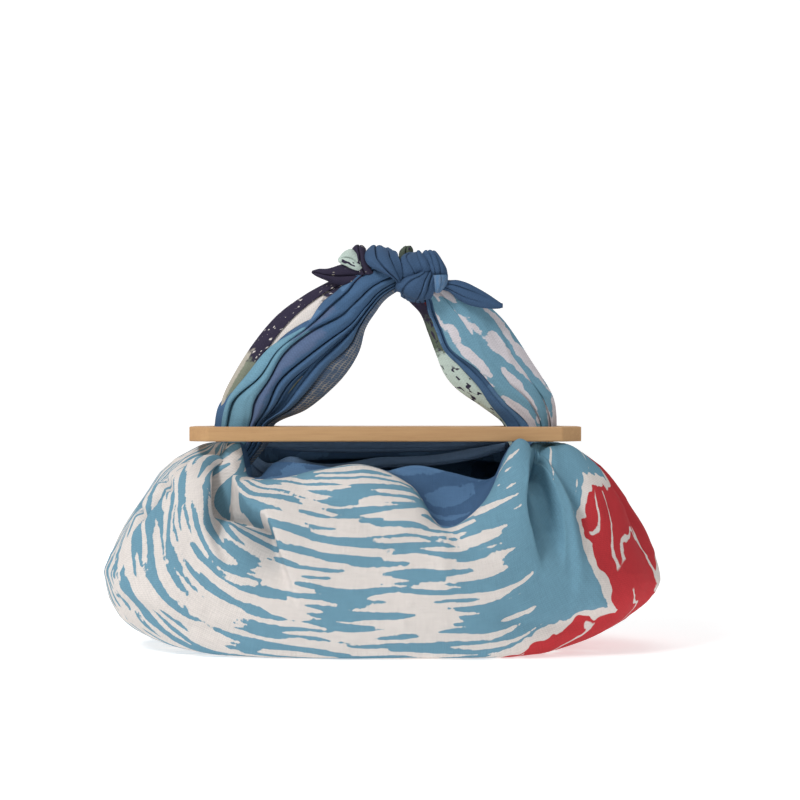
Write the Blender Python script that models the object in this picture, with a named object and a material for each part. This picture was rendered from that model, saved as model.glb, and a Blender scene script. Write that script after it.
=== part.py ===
"""A furoshiki wrap bag: one square cloth, gathered in pairs of corners through the two holes of a
wooden carrying board and tied in a square knot above it.

The cloth is one solid: a thin hollow body whose mouth lies under the board, two pleated strands
that rise through the holes, the wraps of the knot and four free ends. The board is the other.
Tables are in millimetres. X runs to the right, Y to the back and Z up, and the bag stands on Z = 0.
"""

from typing import NamedTuple

import bmesh
import bpy
import numpy as np

MM = 0.001

# Driving sizes, in millimetres
CLOTH_THICK = 2.2
STRAND_THICK = 1.6
BOARD_LENGTH = 309.0
BOARD_DEPTH = 80.0
BOARD_THICK = 11.5
BOARD_MIDDLE_X = 2.0
BOARD_UNDERSIDE_Z = 163.5
BOARD_CORNER_CUT = 16.0
BOARD_EDGE_ROUND = 0.8
HOLE_LENGTH = 60.0
HOLE_DEPTH = 44.0
HOLE_OFFSET_X = 112.5
SEAT_GAP = 0.3

# How finely the cloth is divided
SPANS_PER_MERIDIAN = 4
TUCK_ROWS = 3
UPPER_ROWS = 8
LOWER_ROWS = 5
BASE_RINGS = (0.55,)
STRAND_STEPS_PER_ROW = 1
HOLE_SEGMENTS = 12


class Meridian(NamedTuple):
    """One section of the body, from its folded-in edge over the rim and belly down to its foot."""

    tuck: tuple
    rim: tuple
    belly: tuple
    foot: tuple
    round_up: float
    round_low: float


# From the left end along the front to the right end, and back along the rear
MERIDIANS = (
    Meridian((-118, 0, 149), (-131, 0, 163), (-221, 0, 58), (-134, 0), 1.45, 2.3),
    Meridian((-115, -6, 148), (-127, -15, 163), (-204, -54, 60), (-128, -36), 1.6, 2.3),
    Meridian((-106, -10, 146), (-113, -28, 164), (-160, -86, 62), (-118, -62), 1.8, 2.3),
    Meridian((-86, -26, 148), (-90, -47, 136), (-98, -101, 60), (-86, -76), 2.0, 2.4),
    Meridian((-50, -36, 145), (-50, -54, 142), (-50, -105, 58), (-46, -82), 2.1, 2.4),
    Meridian((-12, -40, 138), (-14, -56, 146), (-10, -106, 57), (-8, -83), 2.1, 2.4),
    Meridian((24, -42, 145), (22, -62, 130), (24, -106, 56), (24, -83), 2.2, 2.4),
    Meridian((52, -42, 140), (46, -84, 99), (52, -106, 54), (50, -82), 2.2, 2.4),
    Meridian((80, -42, 134), (77, -78, 118), (80, -104, 54), (76, -80), 2.0, 2.3),
    Meridian((93, -39, 142), (97, -55, 156), (102, -100, 55), (94, -75), 1.8, 2.2),
    Meridian((104, -38, 148), (106, -49, 166), (120, -95, 55), (104, -68), 1.7, 2.1),
    Meridian((108, -30, 146), (113, -43, 158), (136, -90, 55), (111, -61), 1.7, 2.0),
    Meridian((115, -11, 147), (122, -26, 164), (156, -82, 56), (118, -54), 1.7, 1.9),
    Meridian((121, -6, 148), (133, -14, 163), (198, -50, 55), (124, -32), 1.6, 1.7),
    Meridian((124, 0, 149), (137, 0, 163), (221, 0, 54), (126, 0), 1.45, 1.6),
    Meridian((121, 7, 148), (133, 15, 163), (196, 52, 56), (122, 36), 1.6, 1.8),
    Meridian((110, 14, 144), (116, 30, 163.4), (150, 86, 58), (112, 60), 1.8, 2.0),
    Meridian((82, 38, 146), (84, 57, 162), (92, 102, 60), (84, 76), 2.0, 2.3),
    Meridian((0, 44, 148), (2, 61, 168), (2, 106.4, 60), (2, 82), 2.1, 2.4),
    Meridian((-80, 38, 146), (-82, 57, 162), (-90, 102, 60), (-84, 76), 2.0, 2.4),
    Meridian((-106, 14, 144), (-112, 30, 163.4), (-152, 86, 60), (-116, 60), 1.8, 2.3),
    Meridian((-115, 7, 148), (-127, 15, 163), (-202, 54, 59), (-128, 36), 1.6, 2.3),
)


class Fold(NamedTuple):
    """A soft ridge or trough along three points (x, z) of the front (-1) or the back (1)."""

    side: int
    start: tuple
    middle: tuple
    end: tuple
    width: float
    height: float


FOLDS = (
    Fold(-1, (-121, 146), (-106, 108), (-84, 58), 14, -13),
    Fold(-1, (-112, 143), (-84, 92), (-57, 30), 8, 5),
    Fold(-1, (-128, 156), (-140, 108), (-136, 52), 9, -6),
    Fold(-1, (-132, 156), (-166, 112), (-178, 58), 9, -5),
    Fold(-1, (-138, 156), (-184, 118), (-206, 76), 6, 3),
    Fold(-1, (-196, 38), (-128, 22), (-62, 14), 8, -4),
    Fold(-1, (-60, 128), (-20, 112), (30, 96), 10, -3),
    Fold(-1, (113, 156), (117, 112), (126, 66), 11, -14),
    Fold(-1, (104, 158), (102, 118), (96, 70), 10, 4),
    Fold(-1, (124, 154), (140, 116), (150, 74), 9, 5),
    Fold(-1, (128, 156), (156, 116), (178, 74), 9, -8),
    Fold(-1, (134, 158), (176, 124), (204, 84), 6, 3),
    Fold(-1, (96, 34), (140, 26), (196, 36), 9, -4),
    Fold(1, (-122, 152), (-128, 108), (-120, 54), 12, -9),
    Fold(1, (-128, 156), (-166, 112), (-184, 64), 9, -6),
    Fold(1, (-104, 152), (-80, 104), (-58, 48), 9, 4),
    Fold(1, (124, 152), (130, 108), (126, 54), 12, -9),
    Fold(1, (132, 156), (168, 112), (186, 64), 9, -6),
    Fold(1, (106, 152), (84, 104), (62, 48), 9, 4),
    Fold(1, (-40, 140), (0, 112), (44, 100), 12, -3),
)


class Span(NamedTuple):
    """One row of a strand: its outer and inner edge (x, z), and how far its pleats stand in Y."""

    outer: tuple
    inner: tuple
    depth: float
    middle_y: float


LEFT_STRAND = (
    Span((-129, 140), (-88, 138), 0.9, 0),
    Span((-131, 163), (-86, 163), 1.0, 0),
    Span((-131, 176), (-86, 177), 1.0, 0),
    Span((-129, 197), (-62, 188), 1.0, -1),
    Span((-119, 218), (-43, 203), 1.1, -2),
    Span((-103, 243), (-29, 218), 1.2, -3),
    Span((-84, 265), (-19, 235), 1.2, -3),
    Span((-62, 281), (-14, 253), 1.1, -2),
    Span((-42, 292), (-6, 266), 1.0, 0),
    Span((-22, 303), (4, 278), 0.9, 0),
    Span((-4, 312), (15, 287), 0.8, 0),
)
RIGHT_STRAND = (
    Span((137, 140), (101, 138), 0.9, 0),
    Span((138, 163), (97, 163), 1.0, 0),
    Span((139, 176), (96, 177), 1.0, 0),
    Span((137, 196), (80, 190), 1.0, -1),
    Span((129, 212), (60, 204), 1.1, -2),
    Span((118, 229), (49, 217), 1.2, -3),
    Span((107, 246), (42, 234), 1.2, -2),
    Span((95, 262), (36, 250), 1.1, -1),
    Span((80, 275), (30, 265), 1.0, 0),
    Span((60, 286), (20, 276), 0.9, 0),
    Span((42, 296), (12, 286), 0.8, 0),
)


class Pleat(NamedTuple):
    """One pleat of a strand: its share of the width, and where its front and its valley lie in Y."""

    share: float
    front_y: float
    valley_y: float


VALLEY_SHARE = 0.08
LEFT_PLEATS = (
    Pleat(0.10, -4, 8),
    Pleat(0.17, -12, 12),
    Pleat(0.15, -14, 14),
    Pleat(0.13, -10, 12),
    Pleat(0.13, -5, 8),
)
RIGHT_PLEATS = (
    Pleat(0.12, -5, 9),
    Pleat(0.30, -13, 13),
    Pleat(0.12, -7, 13),
    Pleat(0.14, -2, 9),
)
PLEAT_CROWN = 0.14


class Wrap(NamedTuple):
    """A wrap of the knot: a crowned band around a leaning axis through its centre (x, z)."""

    centre: tuple
    lean_deg: float
    half_height: float
    half_depth: float
    width: float
    ridges: int


WRAPS = (
    Wrap((-4, 300), 40.0, 21.0, 20.0, 30.0, 3),
    Wrap((21, 302), 25.0, 17.0, 22.0, 20.0, 2),
    Wrap((37, 299), 20.0, 17.0, 19.0, 28.0, 3),
    Wrap((23, 287), 98.0, 22.0, 17.0, 19.0, 2),
)
WRAP_ROWS = 6
WRAP_SEGMENTS = 20
RIDGE_HEIGHT = 0.9


class Tip(NamedTuple):
    """A row of a free end: its centre, the half-width of the folded cloth and its lean."""

    centre: tuple
    half_width: float


FREE_ENDS = {
    "spike": (Tip((-12, -2, 297), 9), Tip((-34, -5, 296), 7), Tip((-48, -7, 297), 4), Tip((-57, -8, 299), 0.8)),
    "ear": (Tip((-8, 4, 303), 11), Tip((-22, 3, 308), 10), Tip((-30, 2, 311), 8), Tip((-36, 1, 313), 4)),
    "tail": (Tip((42, -12, 290), 8), Tip((58, -17, 288), 7), Tip((74, -19, 281), 7), Tip((94, -20, 271), 1.2)),
    "stub": (Tip((20, 6, 304), 8), Tip((19, 7, 313), 7), Tip((18, 7, 318), 5), Tip((18, 7, 321), 3)),
}
FREE_END_THICK = 3.2


def material(name, colour, roughness):
    """A plain finish with one colour."""
    finish = bpy.data.materials.new(name)
    finish.use_nodes = True
    shader = finish.node_tree.nodes["Principled BSDF"]
    shader.inputs["Base Color"].default_value = (*colour, 1.0)
    shader.inputs["Roughness"].default_value = roughness
    return finish


def mesh_object(name, points, faces, finish=None):
    """An object from points in millimetres."""
    mesh = bpy.data.meshes.new(name)
    mesh.from_pydata((np.asarray(points) * MM).tolist(), [], faces)
    if finish:
        mesh.materials.append(finish)
    made = bpy.data.objects.new(name, mesh)
    bpy.context.scene.collection.objects.link(made)
    return made


def smooth_closed(ring, steps):
    """Catmull-Rom points through a closed ring, with this many steps for each span."""
    before, here = np.roll(ring, 1, axis=0), ring
    after, beyond = np.roll(ring, -1, axis=0), np.roll(ring, -2, axis=0)
    spans = [catmull(before, here, after, beyond, step / steps) for step in range(steps)]
    return np.stack(spans, axis=1).reshape(-1, *ring.shape[1:])


def smooth_open(rows, steps):
    """Catmull-Rom points through an open row, ends included."""
    padded = np.concatenate([2 * rows[:1] - rows[1:2], rows, 2 * rows[-1:] - rows[-2:-1]])
    windows = padded[:-3], padded[1:-2], padded[2:-1], padded[3:]
    spans = [catmull(*windows, step / steps) for step in range(steps)]
    smooth = np.stack(spans, axis=1).reshape(-1, *rows.shape[1:])
    return np.concatenate([smooth, rows[-1:]])


def catmull(before, here, after, beyond, share):
    """The Catmull-Rom point at this share of the span from here to after."""
    return 0.5 * (
        2 * here
        + (after - before) * share
        + (2 * before - 5 * here + 4 * after - beyond) * share**2
        + (3 * here - before - 3 * after + beyond) * share**3
    )


def meridian_points(row):
    """The profile of one meridian: a quarter turn in over the rim, and two superelliptic quarters."""
    tuck, rim, belly = (np.array(point, float) for point in (row.tuck, row.rim, row.belly))
    foot = np.array((*row.foot, 0.0))
    turn_in = np.linspace(np.pi / 2, 0, TUCK_ROWS + 1)[:-1]
    turn_up = np.linspace(0, np.pi / 2, UPPER_ROWS + 1)[:-1]
    turn_low = np.linspace(0, np.pi / 2, LOWER_ROWS + 1)
    return np.concatenate(
        [
            quarter(rim, tuck, turn_in, 2.0),
            quarter(rim, belly, turn_up, row.round_up),
            quarter(foot, belly, np.pi / 2 - turn_low, row.round_low, upside_down=True),
        ]
    )


def quarter(level, steep, turns, roundness, upside_down=False):
    """Points of a quarter superellipse, level at its first end and steep at its second."""
    out = np.sin(turns)[:, None] ** (2 / roundness)
    rise = np.cos(turns) ** (2 / roundness)
    points = level + (steep - level) * out
    points[:, 2] = steep[2] + (level[2] - steep[2]) * rise
    if upside_down:
        points[:, 2] = np.maximum(points[:, 2], 0.0)
    return points


def grid_normals(grid):
    """Unit normals of a grid that is closed along its first axis, pointing away from the bag."""
    around = np.roll(grid, -1, axis=0) - np.roll(grid, 1, axis=0)
    down = np.gradient(grid, axis=1)
    normals = np.cross(down, around)
    return normals / np.linalg.norm(normals, axis=2, keepdims=True)


def along_polyline(points, stations):
    """The distance of each point from a polyline, and the share of its length reached there."""
    stations = np.array(stations, float)
    best = np.full(points.shape[:-1], np.inf)
    share = np.zeros(points.shape[:-1])
    legs = len(stations) - 1
    for leg in range(legs):
        start, step = stations[leg], stations[leg + 1] - stations[leg]
        reach = np.clip((points - start) @ step / (step @ step), 0, 1)
        distance = np.linalg.norm(points - start - reach[..., None] * step, axis=-1)
        nearer = distance < best
        best = np.where(nearer, distance, best)
        share = np.where(nearer, (leg + reach) / legs, share)
    return best, share


def smoothstep(value, low, high):
    """0 below low, 1 above high and smooth between."""
    share = np.clip((value - low) / (high - low), 0, 1)
    return share * share * (3 - 2 * share)


def press_folds(grid):
    """The grid with every fold of the table raised or pressed along its normals."""
    normals = grid_normals(grid)
    off_floor = smoothstep(grid[..., 2], 2, 22)
    below_rim = smoothstep(np.arange(grid.shape[1]), 0, TUCK_ROWS + 1)
    height = np.zeros(grid.shape[:2])
    for fold in FOLDS:
        distance, share = along_polyline(grid[..., (0, 2)], (fold.start, fold.middle, fold.end))
        fade = smoothstep(1.0 - share, 0.0, 0.45)
        facing = smoothstep(grid[..., 1] * fold.side, 0, 24)
        height += fold.height * np.exp(-((distance / fold.width) ** 2)) * fade * facing
    return grid + normals * (height * off_floor * below_rim)[..., None]


def keep_under_board(grid):
    """The grid lowered to the seat of the board wherever the board lies above it."""
    half_length, half_depth = BOARD_LENGTH / 2 + 2, BOARD_DEPTH / 2 + 2
    under = (np.abs(grid[..., 0] - BOARD_MIDDLE_X) < half_length) & (np.abs(grid[..., 1]) < half_depth)
    seat = BOARD_UNDERSIDE_Z - SEAT_GAP
    grid[..., 2] = np.where(under, np.minimum(grid[..., 2], seat), grid[..., 2])
    return grid


def body():
    """The hollow body: an outer and an inner skin, joined along the folded-in edge of the mouth."""
    profiles = np.stack([meridian_points(row) for row in MERIDIANS])
    grid = press_folds(smooth_closed(profiles, SPANS_PER_MERIDIAN))
    base = [grid[:, -1:] * share for share in BASE_RINGS]
    outer = np.concatenate([grid, *base], axis=1)
    outer[..., 2] = np.maximum(outer[..., 2], 0.0)
    normals = grid_normals(outer)
    normals[:, -len(BASE_RINGS) :] = (0, 0, -1)
    inner = keep_under_board(outer - normals * CLOTH_THICK)
    outer = keep_under_board(outer)
    around, rows = outer.shape[:2]
    skin = around * rows
    points = [*outer.reshape(-1, 3), (0, 0, 0), *inner.reshape(-1, 3), (0, 0, CLOTH_THICK)]
    faces = []
    for column in range(around):
        beside = (column + 1) % around
        for row in range(rows - 1):
            near, far = column * rows + row, beside * rows + row
            faces.append((near, near + 1, far + 1, far))
            faces.append((skin + 1 + near, skin + 1 + far, skin + 2 + far, skin + 2 + near))
        near, far = column * rows, beside * rows
        faces.append((near + rows - 1, skin, far + rows - 1))
        faces.append((skin + near + rows, skin + far + rows, 2 * skin + 1))
        faces.append((near, far, skin + 1 + far, skin + 1 + near))
    return points, faces


def pleat_path(pleats, width, depth):
    """The line of the pleated sheet across a strand: out from a valley, over a crown, back in."""
    line = []
    place = 0.0
    for pleat in pleats:
        span, gap = pleat.share * width, VALLEY_SHARE * width
        crown = PLEAT_CROWN * span
        front, valley = pleat.front_y * depth, pleat.valley_y * depth
        line += [(place, valley), (place, front), (place + span / 2, front - crown)]
        line += [(place + span, front), (place + span, valley)]
        place += span + gap
    return np.array(line)


def both_sides(line, thick):
    """The closed outline of a sheet of this thickness around a line, mitred at its corners."""
    steps = np.diff(line, axis=0)
    steps /= np.linalg.norm(steps, axis=1, keepdims=True)
    sides = np.stack([-steps[:, 1], steps[:, 0]], axis=1)
    first, last = np.concatenate([sides[:1], sides]), np.concatenate([sides, sides[-1:]])
    mitre = (first + last) / (1 + np.sum(first * last, axis=1, keepdims=True))
    return np.concatenate([line + mitre * thick / 2, (line - mitre * thick / 2)[::-1]])


def strand(rows, pleats):
    """A pleated strand, carried between its outer and inner edges."""
    table = np.array([(*row.outer, *row.inner, row.depth, row.middle_y) for row in rows], float)
    rings = []
    for x_out, z_out, x_in, z_in, depth, middle_y in smooth_open(table, STRAND_STEPS_PER_ROW):
        across = np.array((x_in - x_out, z_in - z_out))
        width = np.linalg.norm(across)
        path = pleat_path(pleats, width, depth)
        path[:, 0] *= width / path[-1, 0]
        outline = both_sides(path, STRAND_THICK)
        x, z = (np.array((x_out, z_out)) + outline[:, :1] * across / width).T
        rings.append(np.stack([x, outline[:, 1] + middle_y, z], axis=1))
    return skin_over(np.array(rings))


def skin_over(rings):
    """Points and faces over a stack of like rings, capped at both ends."""
    count, size = rings.shape[:2]
    faces = [tuple(range(size)), tuple(reversed(range((count - 1) * size, count * size)))]
    for ring in range(count - 1):
        for point in range(size):
            near, far = ring * size + point, ring * size + (point + 1) % size
            faces.append((near, near + size, far + size, far))
    return rings.reshape(-1, 3), faces


def wrap(row):
    """A wrap of the knot: rings along its width, drawn in at both ends, with ridges between."""
    along = np.linspace(-1, 1, WRAP_ROWS + 1)
    swell = (1 - np.abs(along * 0.96) ** 3.5) ** 0.5
    swell += RIDGE_HEIGHT / row.half_height * np.cos(along * np.pi * row.ridges)
    turn = np.linspace(0, 2 * np.pi, WRAP_SEGMENTS, endpoint=False)
    lean = np.radians(row.lean_deg)
    axis = np.array((np.cos(lean), np.sin(lean)))
    up = np.array((-np.sin(lean), np.cos(lean)))
    centre = np.array(row.centre, float)
    rings = []
    for place, size in zip(along * row.width / 2, swell):
        flat = centre + place * axis + size * row.half_height * np.sin(turn)[:, None] * up
        depth = size * row.half_depth * np.cos(turn)
        rings.append(np.stack([flat[:, 0], depth, flat[:, 1]], axis=1))
    return skin_over(np.array(rings))


def free_end(tips):
    """A free end of the cloth: a folded leaf that narrows to its corner."""
    table = np.array([(*tip.centre, tip.half_width) for tip in tips], float)
    smooth = smooth_open(table, 3)
    path, half_width = smooth[:, :3], smooth[:, 3]
    heading = np.gradient(path, axis=0)
    heading /= np.linalg.norm(heading, axis=1, keepdims=True)
    across = np.cross(heading, (0, 1, 0))
    across /= np.linalg.norm(across, axis=1, keepdims=True)
    outward = np.cross(across, heading)
    shape = np.array([(-1, 0), (-0.5, 1.0), (0, 0.7), (0.5, 1.0), (1, 0), (0.5, -0.6), (0, -0.2), (-0.5, -0.6)])
    rings = [
        centre + shape[:, :1] * half * side + shape[:, 1:] * FREE_END_THICK * face
        for centre, half, side, face in zip(path, half_width, across, outward)
    ]
    return skin_over(np.array(rings))


def outward(made):
    """Turns the faces of a closed mesh to point out of it."""
    shell = bmesh.new()
    shell.from_mesh(made.data)
    bmesh.ops.recalc_face_normals(shell, faces=shell.faces)
    bmesh.ops.triangulate(shell, faces=[face for face in shell.faces if len(face.verts) > 4])
    shell.to_mesh(made.data)
    shell.free()
    return made


def united(base, others):
    """Joins the others to the base by Boolean modifiers and hides them as guides."""
    for other in others:
        other.hide_render = True
        other.display_type = "WIRE"
        joint = base.modifiers.new(f"join {other.name}", "BOOLEAN")
        joint.operation = "UNION"
        joint.solver = "EXACT"
        joint.object = other
    return base


def cloth(finish):
    """The whole furoshiki as one solid."""
    made = outward(mesh_object("cloth", *body(), finish))
    pieces = {
        "strand_left": strand(LEFT_STRAND, LEFT_PLEATS),
        "strand_right": strand(RIGHT_STRAND, RIGHT_PLEATS),
        **{f"wrap_{number}": wrap(row) for number, row in enumerate(WRAPS)},
        **{name: free_end(tips) for name, tips in FREE_ENDS.items()},
    }
    guides = [outward(mesh_object(name, *shape)) for name, shape in pieces.items()]
    return united(made, guides)


def plate(name, outline, bottom, top):
    """A flat plate of this outline between two heights."""
    flat = np.array(outline, float)
    rings = [np.column_stack([flat, np.full(len(flat), height)]) for height in (bottom, top)]
    return outward(mesh_object(name, *skin_over(np.array(rings))))


def slot_outline(middle_x):
    """The round-ended outline of one hole of the board."""
    radius, straight = HOLE_DEPTH / 2, (HOLE_LENGTH - HOLE_DEPTH) / 2
    turn = np.linspace(-np.pi / 2, np.pi / 2, HOLE_SEGMENTS + 1)
    right = np.column_stack([middle_x + straight + radius * np.cos(turn), radius * np.sin(turn)])
    left = np.column_stack([middle_x - straight - radius * np.cos(turn), -radius * np.sin(turn)])
    return np.concatenate([right, left])


def board(finish):
    """The carrying board: a plate with cut corners, two holes and softened edges."""
    half_length, half_depth, cut = BOARD_LENGTH / 2, BOARD_DEPTH / 2, BOARD_CORNER_CUT
    corners = [(half_length - cut, -half_depth), (half_length, cut - half_depth)]
    corners += [(x, -y) for x, y in reversed(corners)]
    corners += [(-x, -y) for x, y in corners]
    outline = [(x + BOARD_MIDDLE_X, y) for x, y in corners]
    top = BOARD_UNDERSIDE_Z + BOARD_THICK
    made = plate("board", outline, BOARD_UNDERSIDE_Z, top)
    made.data.materials.append(finish)
    for side, name in ((-1, "hole_left"), (1, "hole_right")):
        slot = slot_outline(BOARD_MIDDLE_X + side * HOLE_OFFSET_X)
        cutter = plate(name, slot, BOARD_UNDERSIDE_Z - BOARD_THICK, top + BOARD_THICK)
        cutter.hide_render = True
        cutter.display_type = "WIRE"
        cut_out = made.modifiers.new(name, "BOOLEAN")
        cut_out.operation = "DIFFERENCE"
        cut_out.solver = "EXACT"
        cut_out.object = cutter
    soften = made.modifiers.new("soft edges", "BEVEL")
    soften.width = BOARD_EDGE_ROUND * MM
    soften.segments = 1
    soften.limit_method = "ANGLE"
    return made


def main():
    """Clears the scene and builds the bag."""
    for old in list(bpy.data.objects):
        bpy.data.objects.remove(old)
    cloth(material("printed cotton", (0.10, 0.30, 0.44), 0.85))
    board(material("beech", (0.56, 0.33, 0.15), 0.55))


main()
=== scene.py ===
"""Dresses the furoshiki wrap bag: a printed cotton cloth with its folds, strands, knot and free ends,
a beech carrying board, a pale studio floor, soft lamps and the camera.

Tables and shapes are in millimetres and become metres where a mesh is made. The cloth's own
coordinates, which carry the print and the weave, are in metres from the middle of the cloth.
"""

from __future__ import annotations

import itertools
import logging
import math
from dataclasses import dataclass
from enum import Enum
from typing import NamedTuple

import bpy
import numpy as np
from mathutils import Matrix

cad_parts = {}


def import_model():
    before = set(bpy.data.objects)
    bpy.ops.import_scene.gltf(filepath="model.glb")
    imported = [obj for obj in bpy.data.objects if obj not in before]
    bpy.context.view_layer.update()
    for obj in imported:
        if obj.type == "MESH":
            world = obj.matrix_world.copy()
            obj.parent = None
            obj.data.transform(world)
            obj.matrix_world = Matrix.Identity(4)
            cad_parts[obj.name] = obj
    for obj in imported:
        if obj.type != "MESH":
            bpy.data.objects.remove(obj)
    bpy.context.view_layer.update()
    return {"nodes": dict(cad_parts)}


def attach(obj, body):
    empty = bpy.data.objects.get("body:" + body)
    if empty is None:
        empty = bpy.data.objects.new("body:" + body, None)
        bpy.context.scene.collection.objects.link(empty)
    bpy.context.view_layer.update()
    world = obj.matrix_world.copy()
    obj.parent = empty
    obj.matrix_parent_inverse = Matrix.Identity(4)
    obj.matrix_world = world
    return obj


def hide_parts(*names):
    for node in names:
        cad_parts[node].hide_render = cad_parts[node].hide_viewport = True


LOG = logging.getLogger("furoshiki")
MM = 0.001
COTTON_THICK = 0.7
BASE_Z = 0.2
BODY_NAME = "root"

BOARD_UNDERSIDE_Z = 163.5
BOARD_HALF_LENGTH = 154.5
BOARD_HALF_DEPTH = 40.0
BOARD_MIDDLE_X = 2.0
BOARD_CLEARANCE = 1.2
FRONT_CLEARANCE = 20.0

Array = np.ndarray


class Side(Enum):
    """Which side of the bag a fold lies on."""

    FRONT = -1
    BACK = 1


# Colours, as linear red, green and blue
def linear(red: int, green: int, blue: int) -> tuple[float, float, float]:
    """A colour of a screen, 0 to 255, as linear light.

    Args:
        red: how much red.
        green: how much green.
        blue: how much blue.

    Returns:
        The three linear values.
    """
    share = np.array((red, green, blue)) / 255.0
    low = share / 12.92
    high = ((share + 0.055) / 1.055) ** 2.4
    return tuple(np.where(share <= 0.04045, low, high).tolist())


STREAM_BLUE = linear(108, 150, 170)
CREAM = linear(218, 211, 206)
POPPY_RED = linear(188, 54, 60)
POPPY_DARK = linear(110, 36, 34)
DEEP_BLUE = linear(70, 100, 134)
DUSK_BLUE = linear(88, 122, 158)
PAINTED_LIGHT_INNER_BLUE = linear(122, 152, 188)
KNOT_BLUE = linear(60, 85, 116)
PATCH_BLUE = linear(100, 126, 156)
SLATE = linear(78, 98, 124)
NAVY = linear(50, 45, 64)
# A lighter copy of the reverse's blue for the folds inside the mouth: painted light where little lamp light
# reaches
WORN_BLUE = linear(88, 106, 138)
PALE_LILAC = linear(202, 197, 202)
MINT = linear(184, 200, 192)
REED_GREEN = linear(124, 130, 114)
REED_DARK = linear(84, 94, 82)
STONE = linear(176, 170, 158)
BEECH = linear(196, 156, 110)
BEECH_DARK = linear(172, 130, 88)


class Signal:
    """A number that a shader works out. Python's operators on it add Math nodes."""

    def __init__(self, sheet: "NodeSheet", socket: bpy.types.NodeSocket) -> None:
        """Wraps an output socket of a node.

        Args:
            sheet: the node sheet that the socket belongs to.
            socket: the output that gives the number.
        """
        self.sheet = sheet
        self.socket = socket

    def _with(self, operation: str, *others: "Signal | float") -> "Signal":
        """The Math node of this operation on this number and the others."""
        return self.sheet.maths(operation, self, *others)

    def __add__(self, other: "Signal | float") -> "Signal":
        """The sum."""
        return self._with("ADD", other)

    __radd__ = __add__

    def __mul__(self, other: "Signal | float") -> "Signal":
        """The product."""
        return self._with("MULTIPLY", other)

    __rmul__ = __mul__

    def __sub__(self, other: "Signal | float") -> "Signal":
        """The difference."""
        return self._with("SUBTRACT", other)

    def __rsub__(self, other: float) -> "Signal":
        """The difference from a plain number."""
        return self.sheet.maths("SUBTRACT", other, self)

    def __pow__(self, other: "Signal | float") -> "Signal":
        """The power."""
        return self._with("POWER", other)

    def sine(self) -> "Signal":
        """The sine."""
        return self._with("SINE")

    def size(self) -> "Signal":
        """The number without its sign."""
        return self._with("ABSOLUTE")

    def most(self, other: "Signal | float") -> "Signal":
        """The higher of two."""
        return self._with("MAXIMUM", other)

    def step(self, low: float, high: float) -> "Signal":
        """0 below low, 1 above high and smooth between."""
        settings = {"interpolation_type": "SMOOTHSTEP"}
        values = {"Value": self, "From Min": low, "From Max": high}
        return Signal(self.sheet, self.sheet.node("ShaderNodeMapRange", settings, values).outputs["Result"])


class NodeSheet:
    """A material under construction."""

    def __init__(self, name: str) -> None:
        """Starts a material with a Principled shader.

        Args:
            name: the material's name.
        """
        self.material = bpy.data.materials.new(name)
        self.material.use_nodes = True
        self.tree = self.material.node_tree
        self.shader = self.tree.nodes["Principled BSDF"]

    def node(self, kind: str, settings: dict | None = None, values: dict | None = None) -> bpy.types.Node:
        """Adds a node.

        Args:
            kind: the node's type.
            settings: its properties, which are set first.
            values: what its input sockets hold or are linked to, by name or number.

        Returns:
            The node.
        """
        made = self.tree.nodes.new(kind)
        for key, value in (settings or {}).items():
            setattr(made, key, value)
        for key, value in (values or {}).items():
            self.feed(made.inputs[key], value)
        return made

    def feed(self, socket: bpy.types.NodeSocket, value: object) -> None:
        """Links an input to a signal or socket, or sets it.

        Args:
            socket: the input.
            value: a Signal, an output socket, a number or a colour.
        """
        if isinstance(value, Signal):
            self.tree.links.new(value.socket, socket)
        elif isinstance(value, bpy.types.NodeSocket):
            self.tree.links.new(value, socket)
        elif isinstance(value, tuple) and len(value) == 3 and socket.type == "RGBA":
            socket.default_value = (*value, 1.0)
        else:
            socket.default_value = value

    def maths(self, operation: str, *values: "Signal | float") -> Signal:
        """A Math node of this operation on these values."""
        made = self.node("ShaderNodeMath", {"operation": operation}, dict(enumerate(values)))
        return Signal(self, made.outputs[0])

    def mix(self, share: "Signal | float", first: object, second: object) -> bpy.types.NodeSocket:
        """A blend of two colours.

        Args:
            share: how much of the second colour there is.
            first: the first colour or its socket.
            second: the second colour or its socket.

        Returns:
            The socket of the blended colour.
        """
        made = self.node("ShaderNodeMix", {"data_type": "RGBA"}, {0: share})
        self.feed(made.inputs[6], first)
        self.feed(made.inputs[7], second)
        return made.outputs[2]

    def dim(self, colour: object, factor: Signal) -> bpy.types.NodeSocket:
        """A colour with its brightness multiplied by a signal."""
        made = self.node("ShaderNodeVectorMath", {"operation": "SCALE"}, {0: colour, "Scale": factor})
        return made.outputs[0]

    def uv(self, layer: str) -> tuple[Signal, Signal]:
        """The two coordinates of one of the mesh's UV maps."""
        source = self.node("ShaderNodeUVMap", {"uv_map": layer})
        split = self.node("ShaderNodeSeparateXYZ", values={0: source.outputs["UV"]})
        return Signal(self, split.outputs["X"]), Signal(self, split.outputs["Y"])

    def flat(self, across: "Signal | float", along: "Signal | float") -> bpy.types.NodeSocket:
        """A vector from two coordinates."""
        return self.node("ShaderNodeCombineXYZ", values={"X": across, "Y": along}).outputs[0]

    def noise(
        self, place: bpy.types.NodeSocket, scale: float, detail: float = 2.0, rough: float = 0.5
    ) -> Signal:
        """Soft noise from -1 to 1.

        Args:
            place: where it is read.
            scale: how many lumps there are in a metre.
            detail: how many finer layers it has.
            rough: how strong they are.

        Returns:
            The noise.
        """
        values = {"Vector": place, "Scale": scale, "Detail": detail, "Roughness": rough}
        made = self.node("ShaderNodeTexNoise", {"noise_dimensions": "3D"}, values)
        return Signal(self, made.outputs["Fac"]) * 2.0 - 1.0

    def bump(self, height: Signal, depth: float, strength: float = 1.0) -> None:
        """Feeds a bump of this depth in metres to the shader's normal."""
        made = self.node("ShaderNodeBump", values={"Strength": strength, "Distance": depth, "Height": height})
        self.feed(self.shader.inputs["Normal"], made.outputs["Normal"])


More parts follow.
